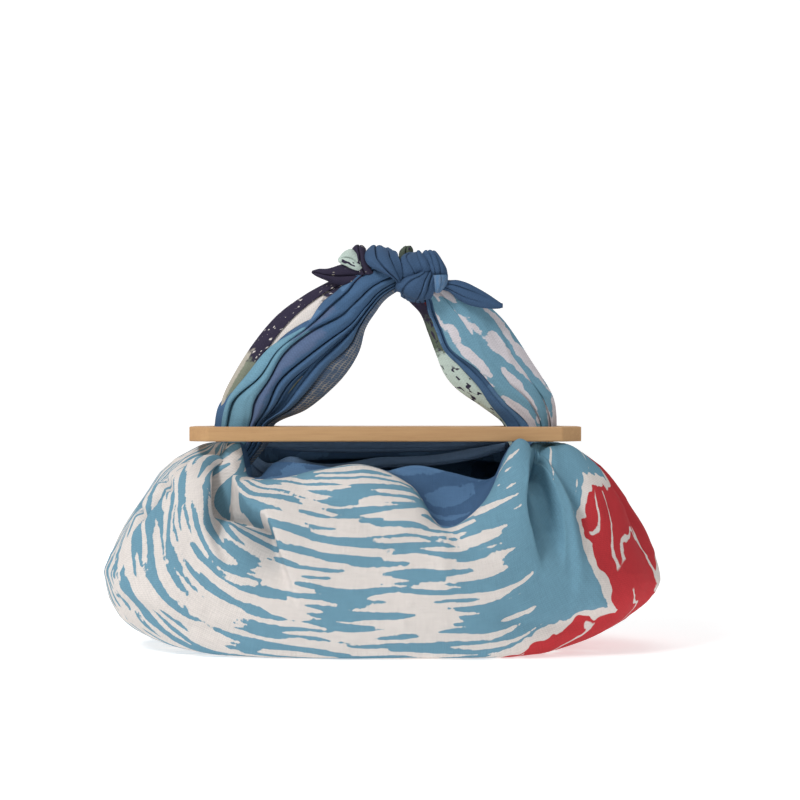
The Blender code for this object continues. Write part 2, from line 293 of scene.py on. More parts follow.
CLOTH_MAP = "Cloth"
PLACE_MAP = "Place"
THREAD = 0.00105
SPECK_SCALE = 520.0
PATCH_SPECK_SCALE = 360.0
PATCH_SPECK_SHARE = 0.14
HATCH_TURNS = 2600.0


class Patch(NamedTuple):
    """A patch of colour on a band's own square from 0 to 1, across it and along it."""

    across: tuple
    along: tuple
    colour: tuple
    speck: tuple | None = None
    soft: float = 0.012
    hatch: tuple | None = None


class Streaks(NamedTuple):
    """Long ragged streaks of another colour, like mist, in metres of cloth."""

    colour: tuple
    length: float
    width: float
    share: float = 0.0
    turned: bool = False
    thinning: tuple | None = None


@dataclass(frozen=True)
class Cotton:
    """A plain-weave cotton with a plain or printed ground."""

    name: str
    colour: tuple
    patches: tuple = ()
    streaks: Streaks | None = None
    speck: tuple | None = None
    speck_share: float = 0.30
    blossom: bool = False
    seed: float = 0.0

    def make(self) -> bpy.types.Material:
        """Builds the material.

        Returns:
            The material.
        """
        sheet = NodeSheet(self.name)
        across, along = sheet.uv(CLOTH_MAP)
        colour: object = self.colour
        if self.speck:
            strokes = self.specks(sheet, across, along, self.speck_share, SPECK_SCALE)
            colour = sheet.mix(strokes, colour, self.speck)
        if self.streaks:
            colour = sheet.mix(self.streaming(sheet, across, along), colour, self.streaks.colour)
        if self.patches:
            colour = self.patched(sheet, across, along, colour)
        if self.blossom:
            colour = self.petals(sheet, across, along, colour)
        self.weave(sheet, across, along, colour)
        return sheet.material

    def specks(self, sheet: NodeSheet, across: Signal, along: Signal, share: float, scale: float) -> Signal:
        """Where small strokes along the cloth lie."""
        spot = sheet.flat(across + self.seed, along * 0.42)
        return sheet.noise(spot, scale, 1.5, 0.55).step(share, share + 0.10)

    def streaming(self, sheet: NodeSheet, across: Signal, along: Signal) -> Signal:
        """Where the streaks lie: noise drawn out along them, with a slow bend and ragged edges.

        Args:
            sheet: the material's node sheet.
            across: the cloth's first coordinate.
            along: its second coordinate.

        Returns:
            1 on a streak and 0 beside it.
        """
        streaks = self.streaks
        if streaks.turned:
            across, along = along, across
        spot = sheet.flat(across + self.seed, along)
        bend = sheet.noise(spot, 11.0, 1.0) * (streaks.width * 0.9)
        onward = across * (1 / streaks.length) + self.seed * 7
        place = sheet.flat(onward, (along + bend) * (1 / streaks.width))
        ragged = sheet.noise(spot, 150.0, 2.0, 0.6)
        level = sheet.noise(place, 1.0, 0.6, 0.4) + ragged * 0.17 + streaks.share
        if streaks.thinning:
            level = level - across.step(*streaks.thinning) * 0.5
        return level.step(-0.02, 0.02)

    def patched(self, sheet: NodeSheet, across: Signal, along: Signal, colour: object) -> object:
        """The colour with every patch laid on it, in order."""
        place_across, place_along = sheet.uv(PLACE_MAP)
        waver = sheet.noise(sheet.flat(across + self.seed, along), 90.0, 3.0, 0.65)
        for patch in self.patches:
            u, v = place_across + waver * (patch.soft * 1.5), place_along + waver * (patch.soft * 2.5)
            low, high = patch.across
            start, end = patch.along
            inside = u.step(low - patch.soft, low) * (1.0 - u.step(high, high + patch.soft))
            inside = inside * v.step(start - patch.soft, start) * (1.0 - v.step(end, end + patch.soft))
            tone: object = patch.colour
            if patch.speck:
                strokes = self.specks(sheet, across, along, PATCH_SPECK_SHARE, PATCH_SPECK_SCALE)
                tone = sheet.mix(strokes, tone, patch.speck)
            if patch.hatch:
                bent = waver * 0.0016
                warp_lines = ((across + bent) * HATCH_TURNS).sine()
                weft_lines = ((along - bent) * HATCH_TURNS).sine()
                lines = warp_lines.most(weft_lines) + waver * 0.8
                tone = sheet.mix(lines.step(0.60, 1.10) * 0.6, tone, patch.hatch)
            colour = sheet.mix(inside, colour, tone)
        return colour

    def petals(self, sheet: NodeSheet, across: Signal, along: Signal, colour: object) -> bpy.types.NodeSocket:
        """A large red blossom: overlapping round petals with a pale rim and pale veins.

        Args:
            sheet: the material's node sheet.
            across: the cloth's first coordinate.
            along: its second coordinate.
            colour: the colour of the ground.

        Returns:
            The socket of the painted colour.
        """
        spot = sheet.flat(across, along)
        waver = sheet.noise(spot, 30.0, 2.0, 0.55) * 0.011 + sheet.noise(spot, 110.0, 2.0) * 0.0030
        inside: Signal | None = None
        for middle_x, middle_y, radius in BLOSSOM_PETALS:
            reach = ((across - middle_x) ** 2.0 + (along - middle_y) ** 2.0) ** 0.5
            depth = waver + radius - reach
            inside = depth if inside is None else inside.most(depth)
        rim = inside.step(0.0, 0.0006)
        painted = sheet.mix(rim, colour, CREAM)
        red = (inside + sheet.noise(spot, 60.0, 1.0) * 0.007).step(0.0075, 0.0083)
        painted = sheet.mix(red, painted, POPPY_RED)
        drawn = sheet.flat(across * 12.0 + waver * 10.0, along * 27.0 + 3.0)
        vein = (sheet.noise(drawn, 1.0, 1.0, 0.4) + sheet.noise(spot, 160.0, 1.0) * 0.02).size()
        veins = (1.0 - vein.step(0.020, 0.032)) * inside.step(0.012, 0.014)
        broken = sheet.noise(spot, 16.0, 1.0).step(-0.26, -0.20)
        return sheet.mix(veins * broken, painted, CREAM)

    def weave(self, sheet: NodeSheet, across: Signal, along: Signal, colour: object) -> None:
        """Lays the weave, its slubs and its soft sheen over a colour and finishes the shader.

        Args:
            sheet: the material's node sheet.
            across: the cloth's first coordinate.
            along: its second coordinate.
            colour: the printed colour.
        """
        warp = (across * (math.pi / THREAD)).sine()
        weft = (along * (math.pi / THREAD)).sine()
        crossing = warp * weft
        slub_warp = sheet.noise(sheet.flat(across * 14.0, along), 70.0, 2.0, 0.6)
        slub_weft = sheet.noise(sheet.flat(across, along * 14.0), 70.0, 2.0, 0.6)
        # Large soft lumps make the colour up to 7% lighter or darker: fading of the dye, and painted broad
        # shade
        fade_and_painted_shade = sheet.noise(sheet.flat(across, along), 14.0, 3.0, 0.6)
        tone = crossing * 0.08 + (slub_warp + slub_weft) * 0.15 + fade_and_painted_shade * 0.07 + 1.0
        sheet.feed(sheet.shader.inputs["Base Color"], sheet.dim(colour, tone))
        sheet.feed(sheet.shader.inputs["Roughness"], slub_warp * 0.05 + 0.88)
        sheet.shader.inputs["Specular IOR Level"].default_value = 0.18
        sheet.bump(crossing.size() * 0.6 + (slub_warp + slub_weft) * 0.7, 0.00025, 0.7)


BLOSSOM_PETALS = (
    (0.242, -0.075, 0.057),
    (0.275, -0.005, 0.087),
    (0.130, -0.018, 0.079),
    (0.205, 0.012, 0.082),
    (0.300, 0.095, 0.084),
)


@dataclass(frozen=True)
class Beech:
    """Smooth pale beech: long fine grain, short dark flecks and soft growth bands."""

    name: str = "pale beech"
    light: tuple = BEECH
    dark: tuple = BEECH_DARK

    def make(self) -> bpy.types.Material:
        """Builds the material.

        Returns:
            The material.
        """
        sheet = NodeSheet(self.name)
        place = sheet.node("ShaderNodeTexCoord").outputs["Object"]
        parts = sheet.node("ShaderNodeSeparateXYZ", values={0: place})
        x, y, z = (Signal(sheet, parts.outputs[axis]) for axis in "XYZ")

        def stretched(along: float, over: float) -> bpy.types.NodeSocket:
            """Object coordinates drawn out along the board."""
            values = {0: x * along, 1: y * over, 2: z * over}
            return sheet.node("ShaderNodeCombineXYZ", values=values).outputs[0]

        bands = sheet.noise(stretched(0.10, 1.0), 60.0, 3.0, 0.6)
        grain = sheet.noise(stretched(0.06, 1.0), 520.0, 3.0, 0.65)
        flecks = sheet.noise(stretched(0.16, 1.0), 900.0, 1.0, 0.5)
        share = bands * 0.35 + grain * 0.30 + 0.42
        colour = sheet.mix(share.step(0.0, 1.0), self.light, self.dark)
        colour = sheet.mix(flecks.step(0.30, 0.55) * 0.35, colour, self.dark)
        sheet.feed(sheet.shader.inputs["Base Color"], colour)
        sheet.feed(sheet.shader.inputs["Roughness"], grain * 0.06 + 0.50)
        sheet.shader.inputs["Specular IOR Level"].default_value = 0.35
        sheet.bump(grain + flecks * 0.5, 0.00008, 0.5)
        return sheet.material


class Prints:
    """Every finish of the cloth, made once."""

    def __init__(self) -> None:
        """Makes the materials."""
        mist = Streaks(CREAM, 0.058, 0.0063, 0.04, thinning=(0.04, 0.20))
        self.face = Cotton("printed face", STREAM_BLUE, streaks=mist, blossom=True).make()
        tide = Streaks(DUSK_BLUE, 0.070, 0.020, -0.05)
        self.reverse = Cotton("printed reverse", DEEP_BLUE, streaks=tide, seed=5.3).make()
        # The inner folds of the mouth wear the reverse lightened with painted light, since little light
        # reaches them
        self.reverse_painted_light = Cotton("reverse with painted light", PAINTED_LIGHT_INNER_BLUE, seed=5.9).make()
        self.strand_left = Cotton(
            "left strand front",
            DEEP_BLUE,
            (
                Patch((-0.1, 2.0 / 7), (-0.1, 0.585), STREAM_BLUE),
                Patch((2.0 / 7, 2.45 / 7), (0.10, 0.60), WORN_BLUE, soft=0.02),
                Patch((1.0 / 7, 1.4 / 7), (0.55, 0.70), WORN_BLUE, soft=0.02),
                Patch((5.9 / 7, 1.1), (-0.1, 1.1), SLATE, hatch=STONE, soft=0.008),
            ),
            seed=1.7,
        ).make()
        self.navy_layer = Cotton(
            "left strand navy layer",
            NAVY,
            (
                Patch((-0.1, 1.1), (-0.1, 0.44), REED_GREEN, soft=0.02),
                Patch((-0.1, 0.10), (0.05, 0.46), STONE, soft=0.02),
                Patch((0.36, 1.1), (0.47, 0.72), CREAM, soft=0.04),
            ),
            speck=CREAM,
            speck_share=0.28,
            seed=2.2,
        ).make()
        self.navy_back = Cotton(
            "left strand back",
            NAVY,
            (Patch((-0.1, 1.1), (-0.1, 0.44), REED_GREEN, soft=0.02),),
            speck=STONE,
            seed=2.9,
        ).make()
        self.mint_back = Cotton(
            "right strand back",
            MINT,
            (
                Patch((-0.1, 1.1), (-0.1, 0.20), DEEP_BLUE, soft=0.03),
                Patch((-0.1, 1.1), (0.60, 1.1), REED_DARK, speck=NAVY, soft=0.05),
            ),
            seed=7.1,
        ).make()
        lilac = Streaks(PALE_LILAC, 0.040, 0.0105, -0.01, turned=True)
        self.strand_right = Cotton("right strand front", STREAM_BLUE, streaks=lilac, seed=4.4).make()
        self.strand_right_inner = Cotton(
            "right strand inner", DEEP_BLUE, (Patch((0.45, 1.1), (-0.1, 0.4), DUSK_BLUE),), seed=6.1
        ).make()
        self.mint_layer = Cotton(
            "right strand mint layer",
            MINT,
            (
                Patch((-0.1, 0.34), (0.18, 0.52), MINT, speck=NAVY, soft=0.02),
                Patch((-0.1, 1.1), (0.62, 1.1), REED_DARK, speck=NAVY, soft=0.05),
                Patch((-0.1, 1.1), (0.80, 1.1), NAVY, soft=0.04),
                Patch((0.3, 1.1), (0.80, 0.88), POPPY_DARK, soft=0.04),
            ),
            seed=7.7,
        ).make()
        self.knot = Cotton("knot blue", KNOT_BLUE, seed=8.2).make()
        self.knot_pale = Cotton("knot pale", DUSK_BLUE, speck=PATCH_BLUE, speck_share=-0.05, seed=8.8).make()
        self.mint = Cotton(
            "mint end", MINT, (Patch((-0.1, 0.4), (-0.1, 1.1), MINT, speck=NAVY, soft=0.02),), seed=9.1
        ).make()
        self.navy = Cotton("navy end", NAVY, speck=STONE, speck_share=0.36, seed=9.6).make()
        self.green = Cotton("green end", REED_DARK, speck=NAVY, speck_share=0.2).make()


def smoothstep(value: Array, low: float, high: float) -> Array:
    """0 below low, 1 above high and smooth between."""
    share = np.clip((value - low) / (high - low), 0, 1)
    return share * share * (3 - 2 * share)


def bell(value: Array, width: float) -> Array:
    """A soft bump, 1 at 0 and fading over this width."""
    return np.exp(-((value / width) ** 2))


NOISE_LATTICE = 32


def soft_noise(points: Array, scale: float, seed: int) -> Array:
    """Value noise: random numbers on a lattice, blended by a smooth cubic.

    Args:
        points: where it is read, with three coordinates in the last axis.
        scale: the size of a lump.
        seed: which noise it is.

    Returns:
        Numbers from -1 to 1.
    """
    lattice = np.random.default_rng(seed).uniform(-1, 1, (NOISE_LATTICE,) * 3)
    place = np.asarray(points, float) / scale
    corner = np.floor(place).astype(int)
    share = place - corner
    share = share * share * (3 - 2 * share)
    total = np.zeros(place.shape[:-1])
    for offset in itertools.product((0, 1), repeat=3):
        weight = np.prod(np.where(offset, share, 1 - share), axis=-1)
        x, y, z = np.moveaxis((corner + offset) % NOISE_LATTICE, -1, 0)
        total += weight * lattice[x, y, z]
    return total


def catmull(rows: Array, stations: Array, closed: bool) -> Array:
    """Catmull-Rom points through rows.

    Args:
        rows: the rows that the curve goes through, along the first axis.
        stations: where it is read, 0 at the first row and 1 at the second.
        closed: whether the last row is followed by the first.

    Returns:
        One row for each station.
    """
    count = len(rows)
    here = np.floor(stations).astype(int)
    if not closed:
        here = np.clip(here, 0, count - 2)
    share = (stations - here).reshape(-1, *([1] * (rows.ndim - 1)))
    if closed:
        a, b, c, d = (rows[(here + step) % count] for step in (-1, 0, 1, 2))
    else:
        padded = np.concatenate([2 * rows[:1] - rows[1:2], rows, 2 * rows[-1:] - rows[-2:-1]])
        a, b, c, d = (padded[here + step] for step in (0, 1, 2, 3))
    bend = (2 * a - 5 * b + 4 * c - d) * share**2 + (3 * b - a - 3 * c + d) * share**3
    return 0.5 * (2 * b + (c - a) * share + bend)


def unit(vectors: Array) -> Array:
    """Vectors of length 1."""
    return vectors / np.maximum(np.linalg.norm(vectors, axis=-1, keepdims=True), 1e-9)


def grid_normals(grid: Array, closed: bool) -> Array:
    """Unit normals of a grid of points, from the cross product of its two directions.

    Args:
        grid: the points, with two grid axes.
        closed: whether the first axis runs round and meets itself.

    Returns:
        A normal for each point, to the side that the second axis crossed with the first gives.
    """
    if closed:
        first = np.roll(grid, -1, axis=0) - np.roll(grid, 1, axis=0)
    else:
        first = np.gradient(grid, axis=0)
    return unit(np.cross(np.gradient(grid, axis=1), first))


def beside_curve(points: Array, stations: tuple, steps: int = 14) -> tuple[Array, Array]:
    """How points lie beside a smooth curve.

    Args:
        points: the points, with two coordinates in the last axis.
        stations: the curve's own few points.
        steps: how many straight legs stand for the curve.

    Returns:
        The signed distance from the curve, positive on its left, and the share of its length.
    """
    curve = catmull(np.array(stations, float), np.linspace(0, len(stations) - 1, steps + 1), False)
    best = np.full(points.shape[:-1], np.inf)
    signed = np.zeros(points.shape[:-1])
    share = np.zeros(points.shape[:-1])
    for leg in range(steps):
        start, way = curve[leg], curve[leg + 1] - curve[leg]
        away = points - start
        reach = np.clip(away @ way / (way @ way), 0, 1)
        distance = np.linalg.norm(away - reach[..., None] * way, axis=-1)
        turn = way[0] * away[..., 1] - way[1] * away[..., 0]
        nearer = distance < best
        best = np.where(nearer, distance, best)
        signed = np.where(nearer, np.where(turn >= 0, distance, -distance), signed)
        share = np.where(nearer, (leg + reach) / steps, share)
    return signed, share


def put_mesh(
    name: str, grid: Array, maps: dict[str, Array], closed: bool, centre: Array | None = None
) -> bpy.types.Object:
    """Makes a mesh object from a grid of points.

    Args:
        name: the object's name.
        grid: the points in millimetres, with two grid axes.
        maps: UV maps on the same grid, with one more row where the grid is closed.
        closed: whether the first axis meets itself.
        centre: a point that closes the last column with a fan, if there is one.

    Returns:
        The object, at the origin.
    """
    rows, columns = grid.shape[:2]
    spans = rows if closed else rows - 1
    row, column = np.meshgrid(np.arange(spans), np.arange(columns - 1), indexing="ij")
    near, far = row * columns + column, (row + 1) % rows * columns + column
    quads = np.stack([near, near + 1, far + 1, far], axis=-1).reshape(-1, 4)
    near_uv, far_uv = row * columns + column, (row + 1) * columns + column
    quads_uv = np.stack([near_uv, near_uv + 1, far_uv + 1, far_uv], axis=-1).reshape(-1, 4)
    points = grid.reshape(-1, 3)
    corners, corners_uv = quads.ravel(), quads_uv.ravel()
    sizes = np.full(len(quads), 4)
    if centre is not None:
        rim = np.arange(rows) * columns + columns - 1
        after = np.roll(rim, -1)
        fan = np.stack([rim, np.full(rows, len(points)), after], axis=-1)
        points = np.concatenate([points, centre[None]])
        middle_uv = len(grid) * columns + (columns if closed else 0)
        after_uv = rim + columns
        corners = np.concatenate([corners, fan.ravel()])
        fan_uv = np.stack([rim, np.full(rows, middle_uv), after_uv], axis=-1)
        corners_uv = np.concatenate([corners_uv, fan_uv.ravel()])
        sizes = np.concatenate([sizes, np.full(rows, 3)])
    mesh = bpy.data.meshes.new(name)
    mesh.vertices.add(len(points))
    mesh.vertices.foreach_set("co", (points * MM).ravel())
    mesh.loops.add(len(corners))
    mesh.loops.foreach_set("vertex_index", corners)
    mesh.polygons.add(len(sizes))
    mesh.polygons.foreach_set("loop_start", np.concatenate([[0], np.cumsum(sizes)[:-1]]))
    mesh.update(calc_edges=True)
    for key, values in maps.items():
        layer = mesh.uv_layers.new(name=key)
        flat = values.reshape(-1, 2)
        if centre is not None:
            flat = np.concatenate([flat, np.zeros((1, 2))])
        layer.data.foreach_set("uv", flat[corners_uv].ravel())
    mesh.validate()
    mesh.shade_smooth()
    made = bpy.data.objects.new(name, mesh)
    bpy.context.scene.collection.objects.link(made)
    return made


def thicken(piece: bpy.types.Object) -> None:
    """Gives a sheet the thickness of the cotton, inwards, with its next material on the inner side."""
    wall = piece.modifiers.new("thickness", "SOLIDIFY")
    wall.thickness = COTTON_THICK * MM
    wall.offset = -1.0
    wall.material_offset = 1
    wall.use_rim = True


def dress(piece: bpy.types.Object, *materials: bpy.types.Material) -> None:
    """Gives a piece its materials, in order."""
    for finish in materials:
        piece.data.materials.append(finish)


def join_body(piece: bpy.types.Object) -> None:
    """Puts a piece of the cloth on the bag: it rides on it and stands for its solid."""
    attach(piece, BODY_NAME)
    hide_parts("cloth")


def clear_of_board(grid: Array) -> Array:
    """Lowers every point that would reach the board from below, and keeps it a little off its front.

    Args:
        grid: points in millimetres.

    Returns:
        The same points, moved where they were too near.
    """
    x, y, z = np.moveaxis(grid, -1, 0)
    front = np.where(x < BOARD_MIDDLE_X, FRONT_CLEARANCE, 1.0)
    over = (np.abs(x - BOARD_MIDDLE_X) < BOARD_HALF_LENGTH + 1) & (y < BOARD_HALF_DEPTH + 1)
    over &= y > -BOARD_HALF_DEPTH - front
    ceiling = BOARD_UNDERSIDE_Z - BOARD_CLEARANCE
    return np.stack([x, y, np.where(over, np.minimum(z, ceiling), z)], axis=-1)


class Meridian(NamedTuple):
    """One section of the body, from its folded-in edge over the rim and belly down to its foot."""

    tuck: tuple
    rim: tuple
    belly: tuple
    foot: tuple
    round_up: float
    round_low: float


class Fold(NamedTuple):
    """A fold along a few points (x, z) of one side of the bag.

    It rises over its own width. Where drop isn't 0, one side of it (the left of the photograph, or
    the right where it is mirrored) falls off steeply over edge and recovers over drop_width, as an
    overlapping crease does, and its crest leans over that side by lean.
    """

    side: Side
    line: tuple
    width: float
    rise: float
    drop: float = 0.0
    drop_width: float = 0.0
    edge: float = 3.0
    lean: float = 0.0
    mirrored: bool = False


MERIDIANS = (
    Meridian((-118, 0, 149), (-131, 0, 163), (-221, 0, 58), (-134, 0), 1.45, 2.3),
    Meridian((-115, -6, 148), (-127, -15, 163), (-204, -54, 60), (-128, -36), 1.6, 2.3),
    Meridian((-106, -10, 146), (-113, -28, 164), (-160, -86, 62), (-118, -62), 1.8, 2.3),
    Meridian((-86, -26, 148), (-90, -47, 136), (-98, -101, 60), (-86, -76), 2.0, 2.4),
    Meridian((-50, -36, 145), (-50, -54, 142), (-50, -105, 58), (-46, -82), 2.1, 2.4),
    Meridian((-12, -40, 138), (-14, -56, 146), (-10, -106, 57), (-8, -83), 2.1, 2.4),
    Meridian((24, -42, 145), (22, -62, 130), (24, -106, 56), (24, -83), 2.2, 2.4),
    Meridian((52, -42, 140), (46, -84, 99), (52, -106, 54), (50, -82), 2.2, 2.4),
    Meridian((80, -42, 134), (77, -78, 118), (80, -104, 54), (76, -80), 2.0, 2.3),
    Meridian((93, -39, 142), (97, -55, 156), (102, -100, 55), (94, -75), 1.8, 2.2),
    Meridian((104, -38, 148), (106, -49, 166), (120, -95, 55), (104, -68), 1.7, 2.1),
    Meridian((108, -30, 146), (113, -43, 158), (136, -90, 55), (111, -61), 1.7, 2.0),
    Meridian((115, -11, 147), (122, -26, 164), (156, -82, 56), (118, -54), 1.7, 1.9),
    Meridian((121, -6, 148), (133, -14, 163), (198, -50, 55), (124, -32), 1.6, 1.7),
    Meridian((124, 0, 149), (137, 0, 163), (221, 0, 54), (126, 0), 1.45, 1.6),
    Meridian((121, 7, 148), (133, 15, 163), (196, 52, 56), (122, 36), 1.6, 1.8),
    Meridian((110, 14, 144), (116, 30, 163.4), (150, 86, 58), (112, 60), 1.8, 2.0),
    Meridian((82, 38, 146), (84, 57, 162), (92, 102, 60), (84, 76), 2.0, 2.3),
    Meridian((0, 44, 148), (2, 61, 168), (2, 106.4, 60), (2, 82), 2.1, 2.4),
    Meridian((-80, 38, 146), (-82, 57, 162), (-90, 102, 60), (-84, 76), 2.0, 2.4),
    Meridian((-106, 14, 144), (-112, 30, 163.4), (-152, 86, 60), (-116, 60), 1.8, 2.3),
    Meridian((-115, 7, 148), (-127, 15, 163), (-202, 54, 59), (-128, 36), 1.6, 2.3),
)

FRONT_FOLDS = (
    Fold(
        Side.FRONT, ((-115, 150), (-109, 135), (-96, 121), (-84, 109), (-77, 88), (-68, 64), (-57, 37)),
        22, 8, 33, 25, 3.2, 9.0,
    ),
    Fold(
        Side.FRONT, ((-125, 157), (-131, 142), (-136, 120), (-134, 100), (-126, 82), (-116, 66)),
        9, 5, 18, 14, 2.6, 3.0, True,
    ),
    Fold(Side.FRONT, ((-116, 100), (-122, 88), (-122, 66)), 9, 6),
    Fold(Side.FRONT, ((-138, 158), (-157, 136), (-172, 116), (-186, 98), (-200, 80)), 7, 4, 6, 8, 1.6, 2.5),
    Fold(Side.FRONT, ((-132, 160), (-146, 149), (-158, 139)), 4, 2.5, 3, 5, 1.2, 1.5),
    Fold(Side.FRONT, ((-163, 128), (-176, 140)), 3, -5),
    Fold(Side.FRONT, ((-184, 106), (-197, 118)), 3, -5),
    Fold(Side.FRONT, ((-165, 118), (-172, 90), (-166, 56)), 9, -4),
    Fold(Side.FRONT, ((-196, 38), (-128, 22), (-62, 14)), 8, -4),
    Fold(Side.FRONT, ((-210, 62), (-160, 34), (-100, 26)), 9, 3),
    Fold(Side.FRONT, ((-84, 128), (-50, 118), (-10, 122)), 7, -2),
    Fold(Side.FRONT, ((-60, 132), (-20, 112), (30, 88)), 9, -3),
    Fold(Side.FRONT, ((-72, 70), (-20, 66), (20, 60)), 10, -2),
    Fold(Side.FRONT, ((36, 98), (10, 84), (-30, 70)), 8, -2.5),
    Fold(Side.FRONT, ((52, 98), (66, 84), (92, 72)), 8, -2.5),
    Fold(Side.FRONT, ((48, 98), (46, 80), (40, 60)), 6, 2),
    Fold(
        Side.FRONT, ((112, 160), (108, 150), (106, 134), (108, 112), (114, 88), (120, 66)),
        16, 6, 24, 16, 3.0, 4.5, True,
    ),
    Fold(
        Side.FRONT, ((121, 158), (129, 146), (134, 131), (137, 111), (139, 88), (138, 66)),
        11, 5, 14, 13, 2.6, 3.0,
    ),
    Fold(Side.FRONT, ((128, 157), (138, 142), (148, 119), (152, 92)), 6, -7),
    Fold(Side.FRONT, ((131, 159), (150, 141), (164, 118), (172, 90)), 7, 4),
    Fold(Side.FRONT, ((134, 160), (160, 142), (186, 112), (206, 82)), 6, 3, 4, 7, 1.8, 2.0, True),
    Fold(Side.FRONT, ((156, 70), (162, 46), (160, 30)), 10, 5),
    Fold(Side.FRONT, ((96, 30), (140, 24), (196, 36)), 8, -3),
)
BACK_FOLDS = (
    Fold(Side.BACK, ((-122, 152), (-128, 108), (-120, 54)), 12, -9),
    Fold(Side.BACK, ((-128, 156), (-166, 112), (-184, 64)), 9, -6),
    Fold(Side.BACK, ((-104, 152), (-80, 104), (-58, 48)), 9, 4),
    Fold(Side.BACK, ((124, 152), (130, 108), (126, 54)), 12, -9),
    Fold(Side.BACK, ((132, 156), (168, 112), (186, 64)), 9, -6),
    Fold(Side.BACK, ((106, 152), (84, 104), (62, 48)), 9, 4),
    Fold(Side.BACK, ((-40, 140), (0, 112), (44, 100)), 12, -3),
    Fold(Side.BACK, ((-90, 140), (-40, 90), (20, 60)), 9, 3),
    Fold(Side.BACK, ((90, 140), (60, 90), (20, 56)), 9, -3),
)


class Gather(NamedTuple):
    """The pleats that spread from one neck, by meridian: its middle, reach and strength."""

    middle: float
    reach: float
    height: float


class Sag(NamedTuple):
    """Where the rim hangs lower, by meridian: its middle, its reach and how deep it is."""

    middle: float
    reach: float
    depth: float


RIM_SAGS = (Sag(2.30, 0.22, 15.0), Sag(2.62, 0.30, 9.0))


@dataclass
class BagBody:
    """The hollow body of the bag: one sheet that rises from the base, turns in over the rim of the
    mouth and is gathered at both necks."""

    prints: Prints
    tuck_rows: int = 14
    upper_rows: int = 62
    lower_rows: int = 34
    crease_spans: tuple = (1, 2, 3, 10, 11)
    front_spans: range = range(1, 13)
    crease_steps: int = 32
    front_steps: int = 18
    coarse_steps: int = 10
    base_rings: tuple = (0.86, 0.70, 0.50, 0.28, 0.10)
    gathers: tuple = (Gather(0.0, 3.4, 3.4), Gather(14.0, 3.2, 3.4))

    def profile(self, row: Meridian) -> Array:
        """The points of one meridian: a quarter turn in over the rim and two superelliptic quarters."""
        tuck, rim, belly = (np.array(point, float) for point in (row.tuck, row.rim, row.belly))
        foot = np.array((*row.foot, 0.0))
        turn_in = np.linspace(np.pi / 2, 0, self.tuck_rows + 1)[:-1]
        turn_up = np.linspace(0, np.pi / 2, self.upper_rows + 1)[:-1]
        turn_low = np.linspace(np.pi / 2, 0, self.lower_rows + 1)
        upper = self.quarter(rim, belly, turn_up, row.round_up)
        lower = self.quarter(foot, belly, turn_low, row.round_low)
        return np.concatenate([self.quarter(rim, tuck, turn_in, 2.0), upper, lower])

    @staticmethod
    def quarter(level: Array, steep: Array, turns: Array, roundness: float) -> Array:
        """Points of a quarter superellipse, level at its first end and steep at its second."""
        out = np.sin(turns)[:, None] ** (2 / roundness)
        points = level + (steep - level) * out
        points[:, 2] = steep[2] + (level[2] - steep[2]) * np.cos(turns) ** (2 / roundness)
        return points

    def stations(self) -> Array:
        """The meridian coordinate of each column: finer along the front, finest at its creases."""
        spans = []
        for span in range(len(MERIDIANS)):
            steps = self.front_steps if span in self.front_spans else self.coarse_steps
            steps = self.crease_steps if span in self.crease_spans else steps
            spans.append(span + np.arange(steps) / steps)
        return np.concatenate(spans)

    def pleats(self, stations: Array, down: Array) -> Array:
        """The height of the gathers: waves across the meridians that widen and fade downwards.

        Args:
            stations: the meridian coordinate of each column.
            down: how far each point lies below the rim, along the cloth.

        Returns:
            A height for each point.
        """
        count = len(MERIDIANS)
        height = np.zeros(down.shape)
        for number, gather in enumerate(self.gathers):
            away = (stations - gather.middle + count / 2) % count - count / 2
            near = smoothstep(gather.reach - np.abs(away), 0.0, 1.4)[:, None]
            drift = soft_noise(np.stack([away * 1.0, away * 0 + number, away * 0], axis=-1), 0.9, 40 + number)
            phase = (away + drift * 0.35)[:, None] + down / 900.0
            broad = np.cos(2 * np.pi * 0.95 * phase + number) * smoothstep(down, 4, 60) * bell(down - 60, 70)
            ripples = np.cos(2 * np.pi * 2.3 * phase + 1.3 * number)
            fine = ripples * smoothstep(down, -2, 10) * bell(down - 8, 38)
            height += near * (gather.height * broad + 0.45 * gather.height * fine)
        return height

    def press(self, grid: Array, stations: Array, down: Array) -> Array:
        """Raises and presses the folds, the gathers and the small creases along the normals.

        Args:
            grid: the smooth body.
            stations: the meridian coordinate of each column.
            down: how far each point lies below the rim, along the cloth.

        Returns:
            The folded body.
        """
        normals = grid_normals(grid, True)
        flat = grid[..., (0, 2)]
        height = np.zeros(grid.shape[:2])
        leaning = np.zeros(grid.shape)
        for fold in FRONT_FOLDS + BACK_FOLDS:
            signed, share = beside_curve(flat, fold.line)
            signed = signed * (1.0 if fold.mirrored else -1.0)
            facing = smoothstep(grid[..., 1] * fold.side.value, 0, 24)
            fade = smoothstep(1.0 - share, 0.0, 0.45) * facing
            shape = fold.rise * bell(signed, fold.width)
            if fold.drop:
                steep = (fold.rise + fold.drop) * bell(signed, fold.edge)
                fall = steep - fold.drop * bell(signed, fold.drop_width)
                shape = np.where(signed > 0, fall, shape)
                way = np.subtract(fold.line[-1], fold.line[0])
                aside = unit(np.array((way[1], 0.0, -way[0]))) * (-1.0 if fold.mirrored else 1.0)
                over = bell(np.minimum(signed, 0), fold.width) * (1 - smoothstep(signed, 0, 2 * fold.edge))
                reach = fold.lean * over * smoothstep(0.62 - share, 0.0, 0.28) * facing
                leaning += reach[..., None] * aside
            height += shape * fade
        height += self.pleats(stations, down)
        slow = soft_noise(grid * (1.0, 1.0, 1.6), 46.0, 3) * 1.6
        creases = (1 - np.abs(soft_noise(grid * (0.8, 1.0, 1.5), 26.0, 5))) ** 4
        height += slow + creases * 0.9
        off_floor = smoothstep(grid[..., 2], 1, 22)
        below_rim = smoothstep(down, -3, 16)
        return grid + (normals * height[..., None] + leaning) * (off_floor * below_rim)[..., None]

